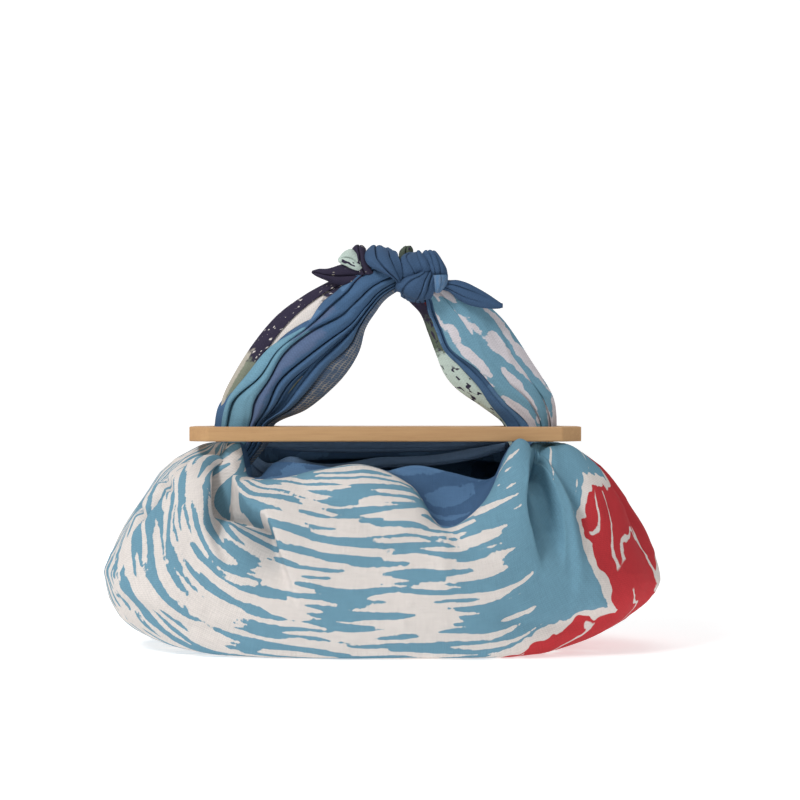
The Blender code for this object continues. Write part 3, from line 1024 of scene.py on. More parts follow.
    @staticmethod
    def sag(grid: Array, stations: Array, down: Array) -> Array:
        """Lowers the rim where the front panel hangs below the neck.

        Args:
            grid: the smooth body.
            stations: the meridian coordinate of each column.
            down: how far each point lies below the rim, along the cloth.

        Returns:
            The body with its sagging rim.
        """
        depth = sum(sag.depth * bell(stations - sag.middle, sag.reach) for sag in RIM_SAGS)
        lowered = depth[:, None] * bell(np.maximum(down, 0), 42)
        return grid - lowered[..., None] * (0.0, 0.0, 1.0)

    def cloth_place(self, grid: Array, stations: Array, down: Array) -> Array:
        """The cloth's own coordinates: outwards from the foot of each meridian, by the length of cloth."""
        headings = [unit(np.subtract(row.belly[:2], row.foot)) for row in MERIDIANS]
        rows = np.array([(*row.foot, *way) for row, way in zip(MERIDIANS, headings)], float)
        table = catmull(rows, stations, True)
        foot_down = down[:, -1:]
        reach = foot_down - down
        return (table[:, None, :2] + unit(table[:, 2:])[:, None] * reach[..., None]) * MM

    def build(self) -> bpy.types.Object:
        """Builds the body and dresses it.

        Returns:
            The body.
        """
        profiles = np.stack([self.profile(row) for row in MERIDIANS])
        stations = self.stations()
        smooth = catmull(profiles, stations, True)
        steps = np.linalg.norm(np.diff(smooth, axis=1), axis=-1)
        length = np.concatenate([np.zeros((len(smooth), 1)), np.cumsum(steps, axis=1)], axis=1)
        down = length - length[:, self.tuck_rows : self.tuck_rows + 1]
        folded = self.press(self.sag(smooth, stations, down), stations, down)
        place = self.cloth_place(folded, stations, down)
        base = np.concatenate([folded[:, -1:] * share for share in self.base_rings], axis=1)
        base_place = np.concatenate([place[:, -1:] * share for share in self.base_rings], axis=1)
        grid = clear_of_board(np.concatenate([folded, base], axis=1))
        grid[..., 2] = np.maximum(grid[..., 2], BASE_Z)
        place = np.concatenate([place, base_place], axis=1)
        place = np.concatenate([place, place[:1]], axis=0)
        maps = {CLOTH_MAP: place, PLACE_MAP: place}
        piece = put_mesh("cloth_body", grid, maps, True, np.array((0, 0, BASE_Z)))
        dress(piece, self.prints.face, self.prints.reverse, self.prints.reverse)
        columns = grid.shape[1] - 1
        inner = np.zeros(len(piece.data.polygons), np.int32)
        inner[: len(grid) * columns] = np.tile(np.arange(columns) < self.tuck_rows - 1, len(grid))
        piece.data.polygons.foreach_set("material_index", inner)
        thicken(piece)
        join_body(piece)
        return piece


class Pleat(NamedTuple):
    """The shape of a pleat across a band, in millimetres out of it. It starts deep under the pleat
    before it, swells to its crown and falls to its right edge."""

    deep: float
    crown: float
    edge: float
    under: float = 0.3


class Section(NamedTuple):
    """One row of a band: its left and right edge (x, y, z), how far it bows out between them, how
    strong its pleats are, and the shares of its width where its pleats start, and its end."""

    left: tuple
    right: tuple
    bow: float
    depth: float
    bounds: tuple


LEAF = (0.0, 0.4, 1.0)
TAIL = (0.0, 0.28, 0.68, 1.0)


@dataclass
class Band:
    """A band of pleated cloth. It runs along its sections, may meet its own start, and its free
    edges are turned under."""

    name: str
    sections: tuple
    pleats: tuple
    finish: bpy.types.Material
    reverse: bpy.types.Material
    flat: tuple
    held: str = "gathered"
    closed: bool = False
    along_steps: int = 150
    samples: int = 4
    ripple: float = 0.5
    coming: float = 0.45
    seed: int = 0
    rests_on: tuple = ("board",)

    def build(self) -> bpy.types.Object:
        """Builds the band.

        Returns:
            The band.
        """
        listed = [(*row.left, *row.right, row.bow, row.depth, *row.bounds) for row in self.sections]
        table = np.array(listed, float)
        reach = len(table) - (0 if self.closed else 1)
        stations = np.linspace(0, reach, self.along_steps, endpoint=not self.closed)
        rows = catmull(table, stations, self.closed)
        left, right, bow, depth = rows[:, None, 0:3], rows[:, None, 3:6], rows[:, 6:7], rows[:, 7:8]
        share, height = self.across(rows[:, 8:], self.wander(depth, stations))
        middle = (left + right)[:, 0] / 2
        heading = self.slope(middle)
        outwards = unit(np.cross((right - left)[:, 0], heading))[:, None]
        length = np.concatenate([[0], np.cumsum(np.linalg.norm(np.diff(middle, axis=0), axis=-1))])
        width = np.linalg.norm(right - left, axis=-1)
        spot = np.stack(np.broadcast_arrays(share * width, length[:, None] * 0.16, self.seed * 9.0), -1)
        inside = np.clip(share, 0, 1)
        swell = 4 * bow * inside * (1 - inside) + height
        uneven = soft_noise(spot, 3.2, self.seed) + soft_noise(spot, 7.0, self.seed + 1)
        swell = swell + self.ripple * uneven
        grid = left + (right - left) * share[..., None] + outwards * swell[..., None]
        piece = put_mesh(self.name, grid, self.maps(grid), self.closed)
        dress(piece, self.finish, self.reverse)
        thicken(piece)
        join_body(piece)
        return piece

    def wander(self, depth: Array, stations: Array) -> Array:
        """Makes each pleat come and go along the band.

        Args:
            depth: for each station, how strong the pleats are.
            stations: the stations.

        Returns:
            For each station and pleat, how strong it is.
        """
        apart = np.arange(len(self.pleats)) * 5.3 + self.seed
        along, pleat = np.meshgrid(stations * 0.8, apart, indexing="ij")
        noise = soft_noise(np.stack([along, pleat, along * 0], -1), 1.0, self.seed + 2)
        varied = depth * (1 + self.coming * noise)
        return varied * smoothstep(varied, 0.1, 0.6)

    def slope(self, line: Array) -> Array:
        """The direction of a line of points at each of them."""
        if self.closed:
            return np.roll(line, -1, axis=0) - np.roll(line, 1, axis=0)
        return np.gradient(line, axis=0)

    def across(self, bounds: Array, depth: Array) -> tuple[Array, Array]:
        """Lays the pleats across the band.

        Args:
            bounds: for each station, where each pleat starts and the last one ends.
            depth: for each station and pleat, how strong it is.

        Returns:
            For each station and column, the share of the width and the height above the band.
        """
        deep, crown, edge, under = np.array(self.pleats).T
        low, high = bounds[:, :-1], bounds[:, 1:]
        span = high - low
        tight = smoothstep(depth, 0.05, 0.5)
        loose = 1 - tight
        start = low - under * span * smoothstep(depth, 0.2, 0.8)
        start[:, 0] = low[:, 0] + 0.22 * span[:, 0]
        sunk = -deep * depth
        sunk[:, 0] = -deep[0]
        entry = np.where(np.arange(len(deep)) == 0, -0.4, -0.75) * deep * depth
        swell, fall = crown * depth, edge * depth
        top, turn = high - 0.06 * loose * span, high - (0.05 * tight + 0.03 * loose) * span
        foot, rise, crest = low + 0.04 * loose * span, low + 0.2 * span, low + 0.52 * span
        places = [start, foot, rise, crest, high - 0.15 * span, top, turn]
        heights = [sunk, entry, 0.4 * swell, swell, 0.7 * swell + 0.3 * fall, fall, fall - 1.5 * depth]
        count = self.along_steps
        controls = np.stack([np.stack(values, 2).reshape(count, -1) for values in (places, heights)], -1)
        last = np.stack([high[:, -1] - 0.22 * span[:, -1], np.full(count, -deep[-1])], -1)
        controls = np.concatenate([controls, last[:, None]], axis=1)
        legs = controls.shape[1] - 1
        fine = catmull(np.moveaxis(controls, 1, 0), np.linspace(0, legs, legs * self.samples + 1), False)
        return fine[..., 0].T, fine[..., 1].T

    def maps(self, grid: Array) -> dict[str, Array]:
        """The band's UV maps: its unfolded size in metres, and its share across and along."""
        if self.closed:
            grid = np.concatenate([grid, grid[:1]], axis=0)
        over = np.linalg.norm(np.diff(grid, axis=1), axis=-1).mean(axis=0)
        down = np.linalg.norm(np.diff(grid, axis=0), axis=-1).mean(axis=1)
        across = np.concatenate([[0], np.cumsum(over)]) * MM
        along = np.concatenate([[0], np.cumsum(down)]) * MM
        LOG.info("%s: %.3f by %.3f m of cloth", self.name, across[-1], along[-1])
        cloth = np.stack(np.meshgrid(across, along, indexing="xy"), -1)
        place = np.stack(np.meshgrid(np.linspace(0, 1, grid.shape[1]), np.linspace(0, 1, len(grid))), -1)
        return {CLOTH_MAP: cloth, PLACE_MAP: place}


REAR_INSET = 0.045


def rows_between(
    edges: tuple, lift: float, bows: tuple, depths: tuple, bounds: tuple, swap: bool = False
) -> tuple:
    """Sections along a strand.

    Args:
        edges: pairs of the strand's two edges, each (x, z).
        lift: where both edges are in Y.
        bows: how far each row bows out.
        depths: how strong each row's pleats are.
        bounds: each row's pleat places, or one row for all.
        swap: whether the sheet faces the back.

    Returns:
        The sections.
    """
    if len(bounds) != len(edges):
        bounds = (bounds,) * len(edges)
    made = []
    inset = REAR_INSET if swap else 0.0
    for (first, second), bow, depth, shares in zip(edges, bows, depths, bounds):
        first, second = np.array(first, float), np.array(second, float)
        first, second = first + inset * (second - first), second + inset * (first - second)
        left, right = (first[0], lift, first[1]), (second[0], lift, second[1])
        ends = (right, left) if swap else (left, right)
        made.append(Section(*ends, bow, depth, shares))
    return tuple(made)


LEFT_EDGES = (
    ((-136, 140), (-111, 138)),
    ((-131, 161), (-92, 161)),
    ((-131, 176), (-86, 177)),
    ((-129, 197), (-62, 188)),
    ((-119, 218), (-43, 203)),
    ((-103, 243), (-29, 218)),
    ((-84, 265), (-19, 235)),
    ((-62, 281), (-14, 253)),
    ((-42, 292), (-6, 266)),
    ((-22, 303), (4, 278)),
    ((10, 314), (24, 290)),
)
RIGHT_EDGES = (
    ((112, 138), (130, 140)),
    ((101, 161), (136, 161)),
    ((96, 177), (139, 176)),
    ((80, 190), (137, 196)),
    ((60, 204), (129, 212)),
    ((49, 217), (118, 229)),
    ((42, 234), (107, 246)),
    ((36, 250), (95, 262)),
    ((30, 265), (80, 275)),
    ((20, 276), (60, 286)),
    ((8, 291), (34, 306)),
)
LEFT_FRONT_BOUNDS = (
    (0.03, 0.13, 0.55, 0.66, 0.73, 0.76, 0.86, 1.0),
    (0.03, 0.13, 0.55, 0.66, 0.73, 0.76, 0.86, 1.0),
    (0.03, 0.13, 0.55, 0.66, 0.73, 0.76, 0.86, 1.0),
    (0.07, 0.14, 0.39, 0.555, 0.64, 0.74, 0.83, 1.0),
    (0.13, 0.265, 0.37, 0.475, 0.58, 0.69, 0.80, 1.0),
    (0.18, 0.27, 0.335, 0.55, 0.66, 0.69, 0.79, 1.0),
    (0.335, 0.375, 0.43, 0.66, 0.74, 0.76, 0.87, 1.0),
    (0.36, 0.39, 0.60, 0.80, 0.85, 0.86, 0.905, 1.0),
    (0.32, 0.36, 0.61, 0.80, 0.85, 0.86, 0.90, 1.0),
    (0.19, 0.25, 0.60, 0.78, 0.84, 0.85, 0.90, 1.0),
    (0.19, 0.25, 0.60, 0.78, 0.84, 0.85, 0.90, 1.0),
)
LEFT_FRONT_PLEATS = (
    Pleat(3.0, 2.8, 1.8),
    Pleat(3.5, 3.4, 1.4, 0.5),
    Pleat(4.0, 4.4, 2.2, 0.6),
    Pleat(4.5, 4.0, 1.2, 0.5),
    Pleat(5.0, -5.5, -5.0, 0.2),
    Pleat(5.0, 3.8, 1.2, 0.3),
    Pleat(4.5, 0.6, -0.5, 0.3),
)
RIGHT_FRONT_BOUNDS = (
    (0.50, 0.68, 0.86, 1.0),
    (0.50, 0.68, 0.86, 1.0),
    (0.45, 0.68, 0.86, 1.0),
    (0.34, 0.64, 0.84, 1.0),
    (0.38, 0.60, 0.84, 1.0),
    (0.35, 0.58, 0.84, 1.0),
    (0.18, 0.50, 0.84, 1.0),
    (0.175, 0.50, 0.84, 1.0),
    (0.21, 0.50, 0.84, 1.0),
    (0.40, 0.60, 0.84, 1.0),
    (0.40, 0.60, 0.84, 1.0),
)
RIGHT_INNER_BOUNDS = (
    (0.10, 0.35, 0.65),
    (0.08, 0.32, 0.65),
    (0.05, 0.28, 0.60),
    (0.12, 0.26, 0.48),
    (0.24, 0.33, 0.52),
    (0.22, 0.30, 0.48),
    (0.13, 0.16, 0.32),
    (0.13, 0.16, 0.32),
    (0.15, 0.18, 0.36),
    (0.30, 0.36, 0.52),
    (0.30, 0.36, 0.52),
)


@dataclass
class Strands:
    """Both strands: each is a pleated front sheet over one or two sheets behind it."""

    prints: Prints

    def build(self) -> None:
        """Builds every sheet of both strands."""
        p = self.prints
        count = len(LEFT_EDGES)
        full = (1.0,) * count
        left_bows = (10, 11, 11, 12, 13, 14, 14, 13, 11, 10, 9)
        right_bows = (9, 10, 10, 11, 13, 14, 14, 13, 11, 9, 8)
        left_depths = (0.8, 0.9, 0.9, 1.0, 1.1, 1.15, 1.15, 1.0, 0.9, 0.8, 0.8)
        right_depths = (1.0, 1.0, 1.0, 0.8, 0.35, 0.2, 0.15, 0.2, 0.3, 0.5, 0.5)
        soft = (2.0, 1.2, 0.4, 0.3)
        bands = (
            Band(
                "cloth_strand_left",
                rows_between(LEFT_EDGES, 2.0, left_bows, left_depths, LEFT_FRONT_BOUNDS),
                LEFT_FRONT_PLEATS, p.strand_left, p.reverse, flat=(0.149, 0.221), seed=11,
            ),
            Band(
                "cloth_strand_left_behind",
                rows_between(LEFT_EDGES, 4.0, (7,) * count, full, (0.0, 0.16, 0.40, 0.65)),
                (soft, (2, 1.2, 0.3, 0.3), (2, 1, 0, 0.3)),
                p.navy_layer, p.reverse, flat=(0.066, 0.231), seed=14,
            ),
            Band(
                "cloth_strand_left_rear",
                rows_between(LEFT_EDGES, 4.0, (10,) * count, full, (0.0, 0.2, 0.45, 0.72, 1.0), True),
                (soft, (3, 2, 0.8, 0.4), (3, 2, 0.8, 0.4), soft),
                p.navy_back, p.navy_back, flat=(0.105, 0.223), seed=15,
            ),
            Band(
                "cloth_strand_right",
                rows_between(RIGHT_EDGES, 1.0, right_bows, right_depths, RIGHT_FRONT_BOUNDS),
                (Pleat(2.6, 1.4, 1.2), Pleat(2.8, 2.2, 1.0, 0.35), Pleat(3.0, 2.0, 0.6, 0.4)),
                p.strand_right, p.reverse, flat=(0.052, 0.203), seed=21,
            ),
            Band(
                "cloth_strand_right_inner",
                rows_between(RIGHT_EDGES, 2.5, (7,) * count, (0.8,) * count, RIGHT_INNER_BOUNDS),
                (soft, (2.4, 1.0, 0.4, 0.3)), p.strand_right_inner, p.reverse, flat=(0.031, 0.193), seed=24,
            ),
            Band(
                "cloth_strand_right_behind",
                rows_between(RIGHT_EDGES, 4.0, (4,) * count, full, (0.0, 0.25, 0.62)),
                (soft, (2.0, 1.0, 0.3, 0.3)), p.mint_layer, p.reverse, flat=(0.056, 0.193), seed=27,
            ),
            Band(
                "cloth_strand_right_rear",
                rows_between(RIGHT_EDGES, 4.0, (10,) * count, full, (0.0, 0.25, 0.55, 1.0), True),
                (soft, (3, 2, 0.8, 0.4), soft), p.mint_back, p.mint_back, flat=(0.096, 0.198), seed=28,
            ),
        )
        for band in bands:
            band.build()


# Wraps, as rows up the front, over the top and down the back
WRAP_OVER = (
    Section((9.6, -19, 290.8), (15.2, -19, 291.6), 1, 0.5, (0, 0.3, 0.72, 1)),
    Section((1.0, -21, 295.4), (15.2, -21.5, 297.0), 3, 0.8, (0, 0.3, 0.72, 1)),
    Section((-6.9, -20, 299.8), (14.4, -21.5, 302.5), 4, 1, (0, 0.3, 0.72, 1)),
    Section((-12.5, -16, 304.3), (12.8, -19, 308.3), 4, 1, (0, 0.32, 0.72, 1)),
    Section((-14.6, -10, 310.3), (11.2, -13, 312.6), 3, 1, (0, 0.34, 0.74, 1)),
    Section((-13.5, -3, 315.2), (7.2, -5, 316.0), 2, 0.9, (0, 0.34, 0.74, 1)),
    Section((-10.4, 5, 317.2), (3.0, 4, 317.8), 2, 0.8, (0, 0.34, 0.72, 1)),
    Section((-10, 14, 311), (7, 14, 312), 3, 0.8, (0, 0.34, 0.72, 1)),
    Section((-6, 18, 300), (12, 18.5, 301), 3, 0.8, (0, 0.34, 0.72, 1)),
    Section((2, 15, 290), (15, 15.5, 291), 2, 0.7, (0, 0.34, 0.72, 1)),
    Section((8, 4, 284.5), (15, 4, 285.5), 1, 0.6, (0, 0.34, 0.72, 1)),
    Section((10, -10, 285.5), (15.5, -10, 287), 1, 0.5, (0, 0.34, 0.72, 1)),
)
WRAP_MIDDLE = (
    Section((12.5, -15, 291.0), (38.1, -17, 297.3), 2, 0.6, (0, 0.5, 0.75, 1)),
    Section((11.8, -18, 297.6), (37.3, -20.5, 301.0), 3, 0.8, (0, 0.48, 0.75, 1)),
    Section((12.0, -17, 303.8), (34.9, -20, 306.6), 3, 0.9, (0, 0.36, 0.72, 1)),
    Section((14.0, -13, 308.6), (31.8, -14, 311.3), 2, 0.8, (0, 0.3, 0.72, 1)),
    Section((18.8, -5, 311.6), (30.3, -6, 313.6), 2, 0.5, (0, 0.3, 0.7, 1)),
    Section((20, 6, 311.5), (31, 6, 313), 2, 0.8, (0, 0.3, 0.7, 1)),
    Section((16, 15, 303), (35, 15, 304), 3, 0.8, (0, 0.35, 0.7, 1)),
    Section((16, 16, 293), (37, 16, 294), 3, 0.8, (0, 0.4, 0.7, 1)),
    Section((18, 6, 286), (36, 6, 287), 2, 0.7, (0, 0.4, 0.7, 1)),
    Section((18, -9, 288), (37, -9, 290), 2, 0.7, (0, 0.45, 0.75, 1)),
)
WRAP_FAN = (
    Section((38.1, -17, 295.7), (51.6, -14, 293.4), 3, 0.6, (0, 0.2, 0.5, 1)),
    Section((36.5, -20, 301), (50.5, -16, 300.2), 4, 1, (0, 0.22, 0.52, 1)),
    Section((33.4, -18, 307.5), (47.6, -14, 305.1), 4, 1.1, (0, 0.24, 0.54, 1)),
    Section((31.1, -12, 312.2), (44.5, -8, 310.3), 3, 1.1, (0, 0.26, 0.56, 1)),
    Section((32.7, -4, 313.6), (42.3, -2, 312), 2, 0.9, (0, 0.26, 0.56, 1)),
    Section((33, 7, 312), (44, 7, 310.5), 2, 0.8, (0, 0.26, 0.56, 1)),
    Section((35, 14, 303), (49, 12, 302), 3, 0.8, (0, 0.26, 0.56, 1)),
    Section((37, 13, 293), (50, 11, 292), 3, 0.8, (0, 0.26, 0.56, 1)),
    Section((38, 2, 288), (50, 2, 287), 2, 0.7, (0, 0.24, 0.54, 1)),
    Section((38, -10, 289.5), (51, -8, 288.5), 2, 0.6, (0, 0.22, 0.52, 1)),
)
WRAP_UNDER = (
    Section((13.6, -8, 281.3), (33.5, -8, 275.6), 2, 0.4, (0, 0.2, 0.66, 0.8, 1)),
    Section((9.8, -15, 285.6), (38.2, -15, 276.6), 4, 0.6, (0, 0.2, 0.66, 0.8, 1)),
    Section((12.8, -19, 290), (40.5, -19, 281.3), 5, 0.8, (0, 0.2, 0.66, 0.8, 1)),
    Section((19.9, -20, 293.8), (41, -20, 287.5), 4, 1, (0, 0.26, 0.62, 0.78, 1)),
    Section((29.4, -18, 297.2), (41, -18, 294), 2, 0.7, (0, 0.34, 0.56, 0.78, 1)),
    Section((30, -6, 301), (40, -6, 300), 1, 0.5, (0, 0.3, 0.55, 0.78, 1)),
    Section((26, 8, 298), (40, 8, 297), 2, 0.7, (0, 0.25, 0.5, 0.75, 1)),
    Section((20, 15, 290), (39, 15, 288), 4, 0.8, (0, 0.25, 0.5, 0.75, 1)),
    Section((15, 11, 283), (37, 11, 279), 3, 0.8, (0, 0.25, 0.5, 0.75, 1)),
    Section((14, 1, 279), (34, 1, 274.5), 2, 0.4, (0, 0.2, 0.62, 0.8, 1)),
)
KNOT_PATCH = (
    Section((40.2, -18, 281.8), (45.6, -15, 282.0), 2, 0.5, LEAF),
    Section((40.0, -21, 288.0), (51.0, -17, 287.8), 3, 0.6, LEAF),
    Section((39.8, -21, 294.6), (51.8, -17, 295.2), 3, 0.5, LEAF),
)
NAVY_FOLD = (
    Section((-19.8, -6, 295.5), (-7.1, -7, 297.1), 2, 1, LEAF),
    Section((-21.4, -7, 304.2), (-12, -9, 304.2), 2, 1, LEAF),
    Section((-23, -5, 311.5), (-13, -6, 309.9), 2, 1, LEAF),
    Section((-24.7, -1, 317), (-13.5, -2, 316.2), 2, 0.8, LEAF),
    Section((-22.4, 6, 317), (-14, 6, 316.5), 2, 0.8, LEAF),
    Section((-21, 10, 308), (-12, 10, 308), 2, 0.8, LEAF),
)
END_EAR = (
    Section((-17.4, -9, 299.4), (-18.5, -7, 305), 1, 0.5, LEAF),
    Section((-20.5, -10, 299), (-20.5, -7, 311.6), 2, 0.8, LEAF),
    Section((-25, -10, 300.5), (-25, -5, 316.5), 3, 0.9, LEAF),
    Section((-30, -10, 303), (-30.5, -5, 314.5), 3, 0.8, LEAF),
    Section((-33.5, -9, 304.5), (-34, -6, 311), 2, 0.6, LEAF),
    Section((-35.3, -8, 305.8), (-35.6, -7, 308), 1, 0.4, LEAF),
)
END_SPIKE = (
    Section((-14, -3, 288), (-16, -3, 306), 2, 0.8, LEAF),
    Section((-24, -4, 287), (-26, -4, 306.5), 2, 1, LEAF),
    Section((-36, -5, 288), (-35, -5, 303.6), 2, 1, LEAF),
    Section((-46, -6, 291.5), (-44, -6, 300.8), 2, 0.8, LEAF),
    Section((-53, -6, 294.5), (-51, -6, 300.6), 1, 0.6, LEAF),
    Section((-57, -6, 297.2), (-56.4, -6, 299.2), 0.5, 0.3, LEAF),
)
END_TAIL = (
    Section((44, -10, 293), (45, -10, 284), 2, 0.8, TAIL),
    Section((51.7, -14, 291.2), (52.5, -14, 281.6), 3, 0.9, TAIL),
    Section((59.5, -16, 291), (59.5, -16, 275.6), 3.5, 0.7, TAIL),
    Section((69, -18, 287.8), (69, -18, 270.8), 3.5, 0.5, TAIL),
    Section((80.8, -20, 281.3), (80.8, -20, 268.3), 3, 0.3, TAIL),
    Section((90.2, -21, 274.9), (90.2, -21, 268.4), 1.5, 0.15, TAIL),
    Section((94.8, -21, 271.6), (94.8, -21, 269.6), 0.5, 0.1, TAIL),
)
END_STUB = (
    Section((13, 5, 302), (23, 5, 302), 2, 0.8, LEAF),
    Section((12.6, 5, 310), (24, 6, 310), 2, 0.8, LEAF),
    Section((13.2, 6, 315.5), (24.2, 7, 316.5), 2, 0.8, LEAF),
    Section((16.5, 7, 319.3), (22.5, 7, 319.8), 1, 0.5, LEAF),
)
OVER_PLEATS = (Pleat(2, 1.6, 0.9), Pleat(1.8, 1.6, 0.3, 0.15), Pleat(2.0, -0.4, 0.5, 0.15))
MIDDLE_PLEATS = (Pleat(2, 1.4, -0.6), Pleat(1.6, -1.4, -1.0, 0.1), Pleat(1.8, 1.7, 0.6, 0.2))
FAN_PLEATS = (Pleat(2, 1.2, 0.6), Pleat(1.8, 1.6, 0.5, 0.3), Pleat(2.2, 1.5, 0, 0.2))
UNDER_PLEATS = (
    Pleat(2, 1.2, 0.6),
    Pleat(1.7, 1.4, 0.6, 0.25),
    Pleat(1.7, 1.6, 0.6, 0.25),
    Pleat(1.7, 1.2, 0.3, 0.25),
)
LEAF_PLEATS = (Pleat(1.6, 1.5, 0.9), Pleat(1.6, 1.2, 0.3, 0.3))
TAIL_PLEATS = (*LEAF_PLEATS, Pleat(1.6, 0.9, 0.2, 0.3))


@dataclass
class Knot:
    """The square knot: its wraps and the free ends of the cloth."""

    prints: Prints

    def build(self) -> None:
        """Builds the wraps, which close on themselves, and then the leaves."""
        p = self.prints
        wraps = (
            ("cloth_wrap_over", WRAP_OVER, OVER_PLEATS, (0.030, 0.130), 1),
            ("cloth_wrap_middle", WRAP_MIDDLE, MIDDLE_PLEATS, (0.032, 0.109), 2),
            ("cloth_wrap_fan", WRAP_FAN, FAN_PLEATS, (0.029, 0.104), 3),
            ("cloth_wrap_under", WRAP_UNDER, UNDER_PLEATS, (0.038, 0.112), 4),
        )
        for name, sections, pleats, flat, seed in wraps:
            Band(
                name, sections, pleats, p.knot, p.knot, flat, closed=True, along_steps=120,
                ripple=0.4, coming=0.75, seed=seed, rests_on=("cloth_strand_left",),
            ).build()
        leaves = (
            ("cloth_knot_patch", KNOT_PATCH, p.knot_pale, (0.018, 0.015)),
            ("cloth_navy_fold", NAVY_FOLD, p.navy, (0.022, 0.045)),
            ("cloth_end_ear", END_EAR, p.mint, (0.022, 0.023)),
            ("cloth_end_spike", END_SPIKE, p.navy, (0.025, 0.043)),
            ("cloth_end_tail", END_TAIL, p.knot, (0.021, 0.057)),
            ("cloth_end_stub", END_STUB, p.green, (0.023, 0.018)),
        )
        for number, (name, sections, finish, flat) in enumerate(leaves):
            pleats = TAIL_PLEATS if sections is END_TAIL else LEAF_PLEATS
            Band(
                name, sections, pleats, finish, finish, flat, held="folded", along_steps=48, samples=5,
                ripple=0.3, seed=31 + number, rests_on=("cloth_wrap_over",),
            ).build()


INNER_REAR = (
    Section((-100, 24, 162), (-98, 30, 158), 1, 1, (0, 0.5, 1)),
    Section((-84, 26, 162), (-82, 34, 156), 2, 1, (0, 0.45, 1)),
    Section((-60, 28, 162), (-60, 36, 154), 2, 1, (0, 0.4, 1)),
    Section((-20, 30, 162), (-20, 38, 153), 2.5, 1, (0, 0.4, 1)),
    Section((20, 30, 162), (20, 38, 153.5), 2.5, 1, (0, 0.4, 1)),
    Section((56, 28, 162), (56, 36, 155), 2, 1, (0, 0.4, 1)),
    Section((84, 26, 162), (82, 34, 157.5), 2, 1, (0, 0.45, 1)),
    Section((100, 24, 162), (98, 30, 159), 1, 1, (0, 0.5, 1)),
)
INNER_FRONT = (
    Section((-116, 2, 162), (-114, 8, 134), 1, 0.6, (0, 0.4, 1)),
    Section((-106, 3, 157.5), (-105, 9, 126), 2, 0.8, (0, 0.4, 1)),
    Section((-97, 6, 147.2), (-97, 13, 124), 2, 1, (0, 0.4, 1)),
    Section((-88, 9, 145.4), (-88, 17, 124), 3, 1, (0, 0.4, 1)),
    Section((-74, 13, 150.4), (-74, 21, 130), 4, 1, (0, 0.45, 1)),
    Section((-55, 14, 144.5), (-55, 22, 132), 4, 1, (0, 0.5, 1)),
    Section((-30, 14, 144.5), (-30, 22, 135), 3, 1, (0, 0.5, 1)),
    Section((-3, 14, 149.0), (-3, 22, 141), 3, 1, (0, 0.5, 1)),
    Section((38, 14, 150.8), (38, 21, 143), 3, 1, (0, 0.5, 1)),
    Section((70, 12, 156.2), (70, 19, 147), 3, 1, (0, 0.5, 1)),
    Section((86, 10, 158.8), (86, 17, 151), 2, 0.8, (0, 0.5, 1)),
    Section((98, 8, 161), (98, 14, 155), 1, 0.6, (0, 0.5, 1)),
)


def hang_inner_folds(prints: Prints) -> None:
    """Hangs the two folds of cloth that sag from neck to neck inside the mouth."""
    for name, sections, flat, seed in (
        ("cloth_inner_rear", INNER_REAR, (0.026, 0.20), 51),
        ("cloth_inner_front", INNER_FRONT, (0.035, 0.223), 55),
    ):
        # Both folds wear the reverse lightened with painted light, for the light that hardly reaches inside
        # the mouth
        Band(
            name, sections, (Pleat(2, 1.4, 0.8), Pleat(2.5, 1, 0, 0.3)), prints.reverse_painted_light,
            prints.reverse_painted_light, flat, held="hung", along_steps=120, seed=seed,
        ).build()


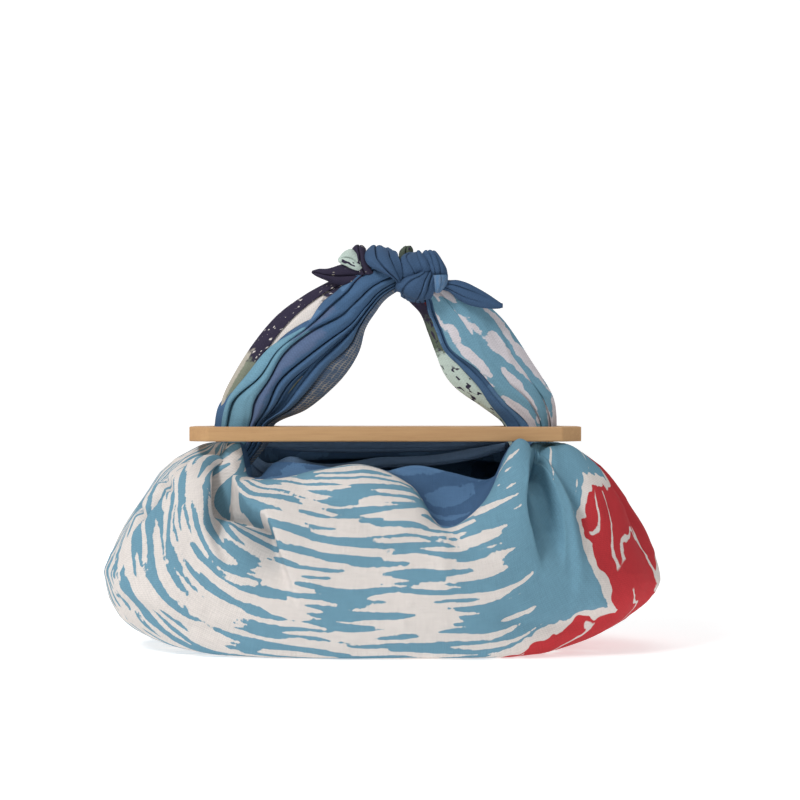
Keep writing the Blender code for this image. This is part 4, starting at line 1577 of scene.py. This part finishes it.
@dataclass
class Studio:
    """The pale floor that sweeps up behind the bag, the lamps and the camera."""

    floor_front: float = -2.2
    floor_back: float = 1.3
    sweep_radius: float = 0.9
    wall_top: float = 3.0
    half_width: float = 3.5
    camera_distance: float = 1.6
    camera_x: float = 0.0136
    camera_height: float = 0.196
    view_width: float = 0.640
    paper_light: float = 0.70
    paper_dark: float = 0.68
    paper_glow: float = 0.56
    sky_strength: float = 0.30

    def build(self) -> None:
        """Builds the floor, the lamps and the camera."""
        bpy.context.scene.view_settings.view_transform = "Standard"
        self.floor()
        self.lamps()
        self.camera()

    def floor(self) -> None:
        """A floor whose profile is a line, a quarter circle and a line."""
        turn = np.linspace(0, np.pi / 2, 40)
        arc_y = self.floor_back + self.sweep_radius * np.sin(turn)
        arc_z = self.sweep_radius * (1 - np.cos(turn))
        y = np.concatenate([np.linspace(self.floor_front, self.floor_back, 20)[:-1], arc_y, arc_y[-1:]])
        z = np.concatenate([np.zeros(19), arc_z, [self.wall_top]])
        x = np.linspace(-self.half_width, self.half_width, 12)[:, None]
        grid = np.stack(np.broadcast_arrays(x, y[None], z[None]), -1) / MM
        made = put_mesh("studio_floor", grid[::-1], {}, False)
        sheet = NodeSheet("studio paper")
        place = sheet.node("ShaderNodeTexCoord").outputs["Object"]
        tint = sheet.noise(place, 2.0, 2.0).step(-1.0, 1.0)
        paper = sheet.mix(tint, (self.paper_dark,) * 3, (self.paper_light,) * 3)
        sheet.feed(sheet.shader.inputs["Base Color"], paper)
        sheet.shader.inputs["Emission Color"].default_value = (1.0, 1.0, 1.0, 1.0)
        sheet.shader.inputs["Emission Strength"].default_value = self.paper_glow
        sheet.shader.inputs["Roughness"].default_value = 0.9
        sheet.shader.inputs["Specular IOR Level"].default_value = 0.1
        dress(made, sheet.material)

    def lamps(self) -> None:
        """A near lamp from the upper left, a low and weaker one in front, one above and a pale sky."""
        self.lamp("key lamp", (-0.9, -0.85, 1.25), (0.0, 0.0, 0.12), 0.45, 15.0)
        self.lamp("front lamp", (0.6, -2.3, 0.36), (0.0, 0.0, 0.14), 0.8, 5.0)
        self.lamp("top lamp", (0.1, 0.3, 2.3), (0.0, 0.0, 0.0), 1.6, 10.0)
        world = bpy.data.worlds.new("studio sky")
        world.use_nodes = True
        sky = world.node_tree.nodes["Background"]
        sky.inputs["Color"].default_value = (1.0, 1.0, 1.0, 1.0)
        sky.inputs["Strength"].default_value = self.sky_strength
        bpy.context.scene.world = world

    @staticmethod
    def lamp(name: str, place: tuple, target: tuple, size: float, power: float) -> None:
        """A square area lamp that points at a target.

        Args:
            name: the lamp's name.
            place: where it is.
            target: what it points at.
            size: the length of its side.
            power: its power in watts.
        """
        light = bpy.data.lights.new(name, "AREA")
        light.size = size
        light.energy = power
        made = bpy.data.objects.new(name, light)
        bpy.context.scene.collection.objects.link(made)
        made.location = place
        direction = np.subtract(target, place)
        flat = math.hypot(direction[0], direction[1])
        made.rotation_euler = (math.atan2(flat, -direction[2]), 0.0, math.atan2(-direction[0], direction[1]))

    def camera(self) -> None:
        """A level camera in front of the bag, with the photograph's width of view at the bag."""
        data = bpy.data.cameras.new("camera")
        data.sensor_width = 36.0
        data.lens = 36.0 * self.camera_distance / self.view_width
        data.clip_end = 20.0
        made = bpy.data.objects.new("camera", data)
        bpy.context.scene.collection.objects.link(made)
        made.location = (self.camera_x, -self.camera_distance, self.camera_height)
        made.rotation_euler = (math.pi / 2, 0.0, 0.0)
        bpy.context.scene.camera = made


def dress_board(frame: dict) -> None:
    """Gives the board its beech finish."""
    node = frame["nodes"]["board"]
    finish = Beech().make()
    node.data.materials.clear()
    node.data.materials.append(finish)
    LOG.info("board dressed")


def main() -> None:
    """Loads the frame and builds every piece in order: the board's finish, the body, the strands, the knot,
    the inner folds and the studio.
    """
    logging.basicConfig(level=logging.INFO, format="%(name)s: %(message)s")
    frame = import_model()
    prints = Prints()
    dress_board(frame)
    BagBody(prints).build()
    LOG.info("body built")
    Strands(prints).build()
    LOG.info("strands built")
    Knot(prints).build()
    LOG.info("knot built")
    hang_inner_folds(prints)
    Studio().build()


if __name__ == "__main__":
    main()
